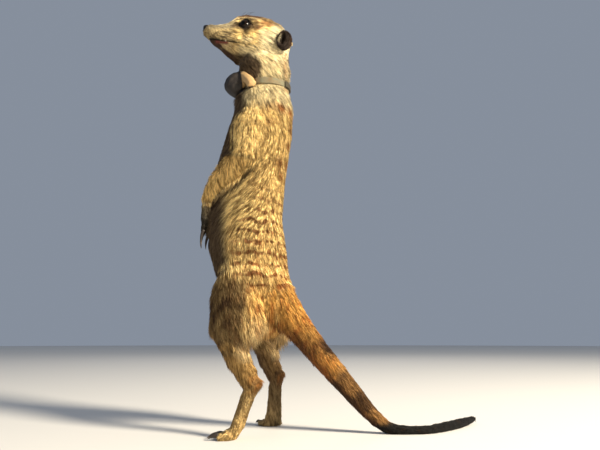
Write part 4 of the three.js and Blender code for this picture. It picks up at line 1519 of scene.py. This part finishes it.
def make_whiskers():
    """Whiskers on both sides of the muzzle and a few long hairs over each eye."""
    random = np.random.RandomState(21)
    tree = search_tree(places_of(skin.data), faces_of(skin.data))
    shapes = []
    roots = [(x, lip_line(x) + rise, 14.5) for x, rise in
             ((20, 1.9), (17.6, 1.7), (15.2, 1.9), (12.8, 2.1), (21, 3.2), (18.6, 3.3), (16.2, 3.4),
              (13.8, 3.7), (19.6, 4.8), (17.2, 4.9), (14.8, 5.2), (12.4, 5.4))]
    roots += [(3.6, 7.2, 8.5), (1.6, 7.8, 9.5), (-0.6, 7.9, 9.0), (9.0, lip_line(9.0) - 3.4, 7.0)]
    for side in (1, -1):
        for x, z, length in roots:
            hit = on_skin(tree, x, z, side)
            if hit is None:
                continue
            brow = 1.0 if z > 0 else 0.0
            lean = np.array([-0.62 + 0.2 * brow, (0.72 - 0.2 * brow) * side, -0.28 + 1.0 * brow])
            lean = unit(lean + random.uniform(-0.16, 0.16, 3))
            droop = np.array([-0.25, 0.0, -0.22 - 0.2 * brow])
            run = np.linspace(0.0, 1.0, 7)[:, None]
            reach = length * random.uniform(0.8, 1.15)
            line = to_face(np.array(hit)) + (lean * (run - 0.03) + droop * run ** 2) * reach
            line = in_box(from_face(line))
            thick = (0.115 * (1 - run[:, 0]) + 0.03) * MM
            shapes.append(tube(line, thick, thick, np.array([0.05, 0.1, 1.0]), 4))
    whiskers = mesh_object("whiskers", *joined(shapes))
    finish(whiskers, whisker_material())


def make_tooth():
    """The one tooth that shows: the tip of the upper canine on the left side."""
    x = 12.9
    tree = search_tree(places_of(skin.data), faces_of(skin.data))
    root = to_face(np.array(on_skin(tree, x, lip_line(x) + 0.3))) + [0.0, 0.05, 0.3]
    run = np.linspace(0.0, 1.0, 8)
    line = root + np.outer(run, [-0.15, 0.25, -2.0]) + np.outer(run ** 2, [-0.25, -0.1, 0])
    thick = (0.55 * (1 - run ** 2.2) + 0.05) * MM
    places, faces = tube(from_face(line), thick, thick * 0.8, FACE_AHEAD, 12)
    tooth = mesh_object("canine_left", places, faces)
    finish(tooth, enamel_material())


# ---- radio collar -----------------------------------------------------------------------------
def webbing_material():
    """Worn grey-green webbing: a fine weave across and along the strap, with brown dirt on it."""
    material, tree, shader = new_material("worn_webbing")
    apart = tree.nodes.new("ShaderNodeSeparateXYZ")
    node = tree.nodes.new("ShaderNodeAttribute")
    node.attribute_name = "strap"
    tree.links.new(node.outputs["Vector"], apart.inputs[0])
    rib = math_of(tree, "SINE", math_of(tree, "MULTIPLY", apart.outputs[0], 2 * math.pi / 0.75))
    thread = math_of(tree, "SINE", math_of(tree, "MULTIPLY", apart.outputs[1], 2 * math.pi / 0.5))
    weave = math_of(tree, "MULTIPLY_ADD", math_of(tree, "MULTIPLY", rib, thread), 0.5, 0.5)
    colour = mixed(tree, weave, (0.08, 0.078, 0.05), (0.24, 0.215, 0.135))
    dirt = stepped(tree, noise(tree, 260.0, 4.0, 0.6), 0.42, 0.68)
    colour = mixed(tree, math_of(tree, "MULTIPLY", dirt, 0.75), colour, (0.20, 0.13, 0.065))
    colour = mixed(tree, apart.outputs[2], colour, (0.020, 0.016, 0.012))
    set_shader(tree, shader, colour, 0.85, 0.2, bumped(tree, weave, 0.00012, 0.8))
    return material


def strap(arc, inner, outer, centre, axis, ahead, low, high):
    """A closed strap with rounded edges. arc holds its angles; inner and outer are its radii there."""
    aside = np.cross(axis, ahead)
    corner = [(0.0, 0.16), (0.03, 0.06), (0.10, 0.0)]
    ring = [(1 - a, b) for a, b in corner] + [(a, b) for a, b in corner[::-1]]
    ring += [(a, 1 - b) for a, b in corner] + [(1 - a, 1 - b) for a, b in corner[::-1]]
    places, strap_places = [], []
    for step, angle in enumerate(arc):
        out = ahead * math.cos(angle) + aside * math.sin(angle)
        wave = 0.12 * math.sin(3.1 * angle + 1.0) + 0.06 * math.sin(7.3 * angle)
        for depth, level in ring:
            radius = inner[step] + (outer[step] - inner[step]) * depth
            rise = (low + (high - low) * level + wave) * MM
            places.append(centre + out * radius + axis * rise)
            strap_places.append((radius / MM * angle, rise / MM))
    size, last = len(ring), (len(arc) - 1) * len(ring)
    faces = [(a + i, a + (i + 1) % size, a + size + (i + 1) % size, a + size + i)
             for a in range(0, last, size) for i in range(size)]
    faces += [tuple(range(size))[::-1], tuple(range(last, last + size))]
    return np.array(places), faces, np.array(strap_places)


STRAP_REACH = 0.05          # rays for the strap start this far outside the neck's middle


def strap_sections(node, centre, ahead, aside):
    """Angles round the neck at which the strap's node is cut, and its inner and outer radius there."""
    tree = search_tree(places_of(node), faces_of(node))
    sections = []
    for angle in np.radians(np.arange(-176, 177, 2.0)):
        out = ahead * math.cos(angle) + aside * math.sin(angle)
        near = tree.ray_cast(Vector(centre), Vector(out))
        far = tree.ray_cast(Vector(centre + out * STRAP_REACH), Vector(-out))
        if near[0] is not None and far[0] is not None and near[3] < STRAP_REACH - far[3]:
            sections.append((angle, near[3], STRAP_REACH - far[3]))
    return np.array(sections).T


def make_band(material):
    """The strap, following its node's own surface, with its dark loose end lapped over at the nape."""
    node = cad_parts["collar_band"].data
    corners = places_of(node)
    centre = middle("neck")
    axis = np.linalg.svd(corners - corners.mean(axis=0), full_matrices=False)[2][2]
    axis = axis * np.sign(axis[2])
    centre = centre + axis * ((corners.mean(axis=0) - centre) @ axis)
    ahead = unit(np.array([1.0, 0, 0]) - axis * axis[0])
    arc, inner, outer = strap_sections(node, centre, ahead, np.cross(axis, ahead))
    hidden_end = math.radians(5)
    arc = np.concatenate([[arc[0] - hidden_end], arc, [arc[-1] + hidden_end]])
    inner = np.convolve(np.pad(inner, 3, mode="edge"), [0.2] * 5, mode="valid")
    outer = np.convolve(np.pad(outer, 3, mode="edge"), [0.2] * 5, mode="valid")
    places, faces, flat = strap(arc, inner, outer, centre, axis, ahead, -2.25, 2.25)
    turns = np.degrees(np.repeat(arc, len(places) // len(arc)))
    dark = 0.7 * ramp(-16, 2, turns) * ramp(40, 24, turns)
    lap = np.abs(np.degrees(arc) - 14) < 21
    over = strap(arc[lap], outer[lap] - 0.15 * MM, outer[lap] + 0.95 * MM, centre, axis, ahead, -2.1, 2.1)
    places, faces = joined([(places, faces), over[:2]])
    flat = np.concatenate([flat, over[2] + [0.3, 0.2]])
    dark = np.concatenate([dark, np.full(len(over[0]), 0.8)])
    band = mesh_object("collar_strap", places, faces)
    store(band.data, "strap", np.column_stack([flat, dark]), "FLOAT_VECTOR")
    finish(band, material)
    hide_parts("collar_band")


def resin_material():
    """Near-black cast resin with tan on the sleeves: partly dust, partly painted light on their lit side."""
    material, tree, shader = new_material("cast_resin_dust_and_lit_side")
    grain = noise(tree, 420.0, 4.0, 0.65)
    colour = mixed(tree, grain, (0.010, 0.008, 0.007), (0.034, 0.026, 0.022))
    # Tan where the kept value is high: dust, and painted light on the lit side of the sleeves.
    dust_and_lit_side = stepped(tree, math_of(tree, "MULTIPLY_ADD", grain, 0.6, attribute(tree, "dust_and_lit_side")), 0.55, 1.0)
    colour = mixed(tree, dust_and_lit_side, colour, (0.44, 0.28, 0.125))
    set_shader(tree, shader, colour, 0.6, 0.35, bumped(tree, noise(tree, 900.0, 4.0, 0.6), 0.00025, 0.6))
    return material


HOUSING_VOXEL = 0.42 * MM
HOUSING_ROUNDS = 14         # of smoothing


def make_transmitter():
    """The transmitter's housing: its node rounded off, small lumps, tan sleeves of dust and painted light."""
    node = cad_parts["collar_transmitter"].data
    mesh = remeshed(places_of(node), faces_of(node), HOUSING_VOXEL)
    places = smoothed(places_of(mesh), edges_of(mesh), np.full(len(mesh.vertices), HOUSING_ROUNDS))
    set_places(mesh, places)
    lumps = mottle(places, 3.2 * MM, 9) - 0.5
    set_places(mesh, places + normals_of(mesh) * (lumps * 0.5 * MM + 0.15 * MM)[:, None])
    housing = bpy.data.objects.new("transmitter_housing", mesh)
    bpy.context.scene.collection.objects.link(housing)
    face = to_face(places)
    sleeve = ramp(-0.8, -2.4, face[:, 0] - 0.25 * (face[:, 2] + 38))
    # Tan on the sleeves wherever they do not face down: painted light on their lit side, with dust; the
    # mottle adds patches.
    dust_and_lit_side = 0.75 * sleeve * ramp(-1.1, -0.6, normals_of(mesh)[:, 2])
    store(mesh, "dust_and_lit_side", dust_and_lit_side + 0.3 * (mottle(places, 4.0 * MM, 6) - 0.5))
    finish(housing, resin_material())
    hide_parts("collar_transmitter")


# ---- camera, light and floor ------------------------------------------------------------------
CAMERA_PLACE = (0.15103, -0.38841, 0.061)
CAMERA_YAW = 24.0           # degrees to the left of the +Y direction
CAMERA_PITCH = 11.0         # degrees above the horizon
CAMERA_LENS = 35.0


def make_camera():
    lens = bpy.data.cameras.new("camera")
    lens.lens = CAMERA_LENS
    lens.sensor_width = 36.0
    lens.clip_start = 0.01
    camera = bpy.data.objects.new("camera", lens)
    camera.location = CAMERA_PLACE
    camera.rotation_euler = (math.radians(90 + CAMERA_PITCH), 0.0, math.radians(CAMERA_YAW))
    bpy.context.scene.collection.objects.link(camera)
    bpy.context.scene.camera = camera


def area_light(name, place, target, size, power, colour):
    data = bpy.data.lights.new(name, "AREA")
    data.shape = "DISK"
    data.size = size
    data.energy = power
    data.color = colour
    light = bpy.data.objects.new(name, data)
    light.location = place
    light.rotation_euler = (Vector(target) - Vector(place)).to_track_quat("-Z", "Y").to_euler()
    bpy.context.scene.collection.objects.link(light)


def make_studio():
    """The lamps, the sky's light and a round floor."""
    scene = bpy.context.scene
    scene.view_settings.view_transform = "Standard"
    target = (0.0, 0.0, 0.16)
    area_light("key", (1.45, -0.33, 0.85), target, 0.4, 80.0, (1.0, 0.90, 0.72))
    area_light("fill", (-1.0, -1.3, 0.7), target, 1.4, 1.5, (0.80, 0.88, 1.0))
    area_light("rim", (-0.5, 1.3, 1.1), target, 0.8, 2.5, (1.0, 0.96, 0.9))
    world = bpy.data.worlds.new("studio")
    world.use_nodes = True
    background = world.node_tree.nodes["Background"]
    background.inputs[0].default_value = (0.24, 0.275, 0.335, 1.0)
    background.inputs[1].default_value = 1.0
    scene.world = world
    turns, radius = 96, 5.0
    places = [(0.0, 0.0, 0.0)] + [(radius * math.cos(2 * math.pi * t / turns),
                                   radius * math.sin(2 * math.pi * t / turns), 0.0) for t in range(turns)]
    floor = mesh_object("floor", places, [(0, 1 + t, 1 + (t + 1) % turns) for t in range(turns)])
    floor.data.materials.append(floor_material())


# ---- making it --------------------------------------------------------------------------------
make_camera()
forearm_tree = node_tree("forearm_left", "forearm_right")
skin, flesh_tree, flesh_owners = make_skin()
dress_skin(skin, flesh_tree, flesh_owners)
regions, areas = coat_regions(skin.data, flesh_tree, flesh_owners)
coat_group = coat_tree()
skin.data.materials.append(skin_material())
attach(skin, "root")
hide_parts(*FLESH)
for coat in make_coats(skin, regions, areas, coat_material()):
    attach(coat, "root")
for side in SIDES:
    make_eye(side)
make_nose()
make_tooth()
make_whiskers()
horn = horn_material()
for limb in ("hand", "foot"):
    for side in SIDES:
        make_claws(f"{limb}_{side}", horn)
make_band(webbing_material())
make_transmitter()
make_studio()
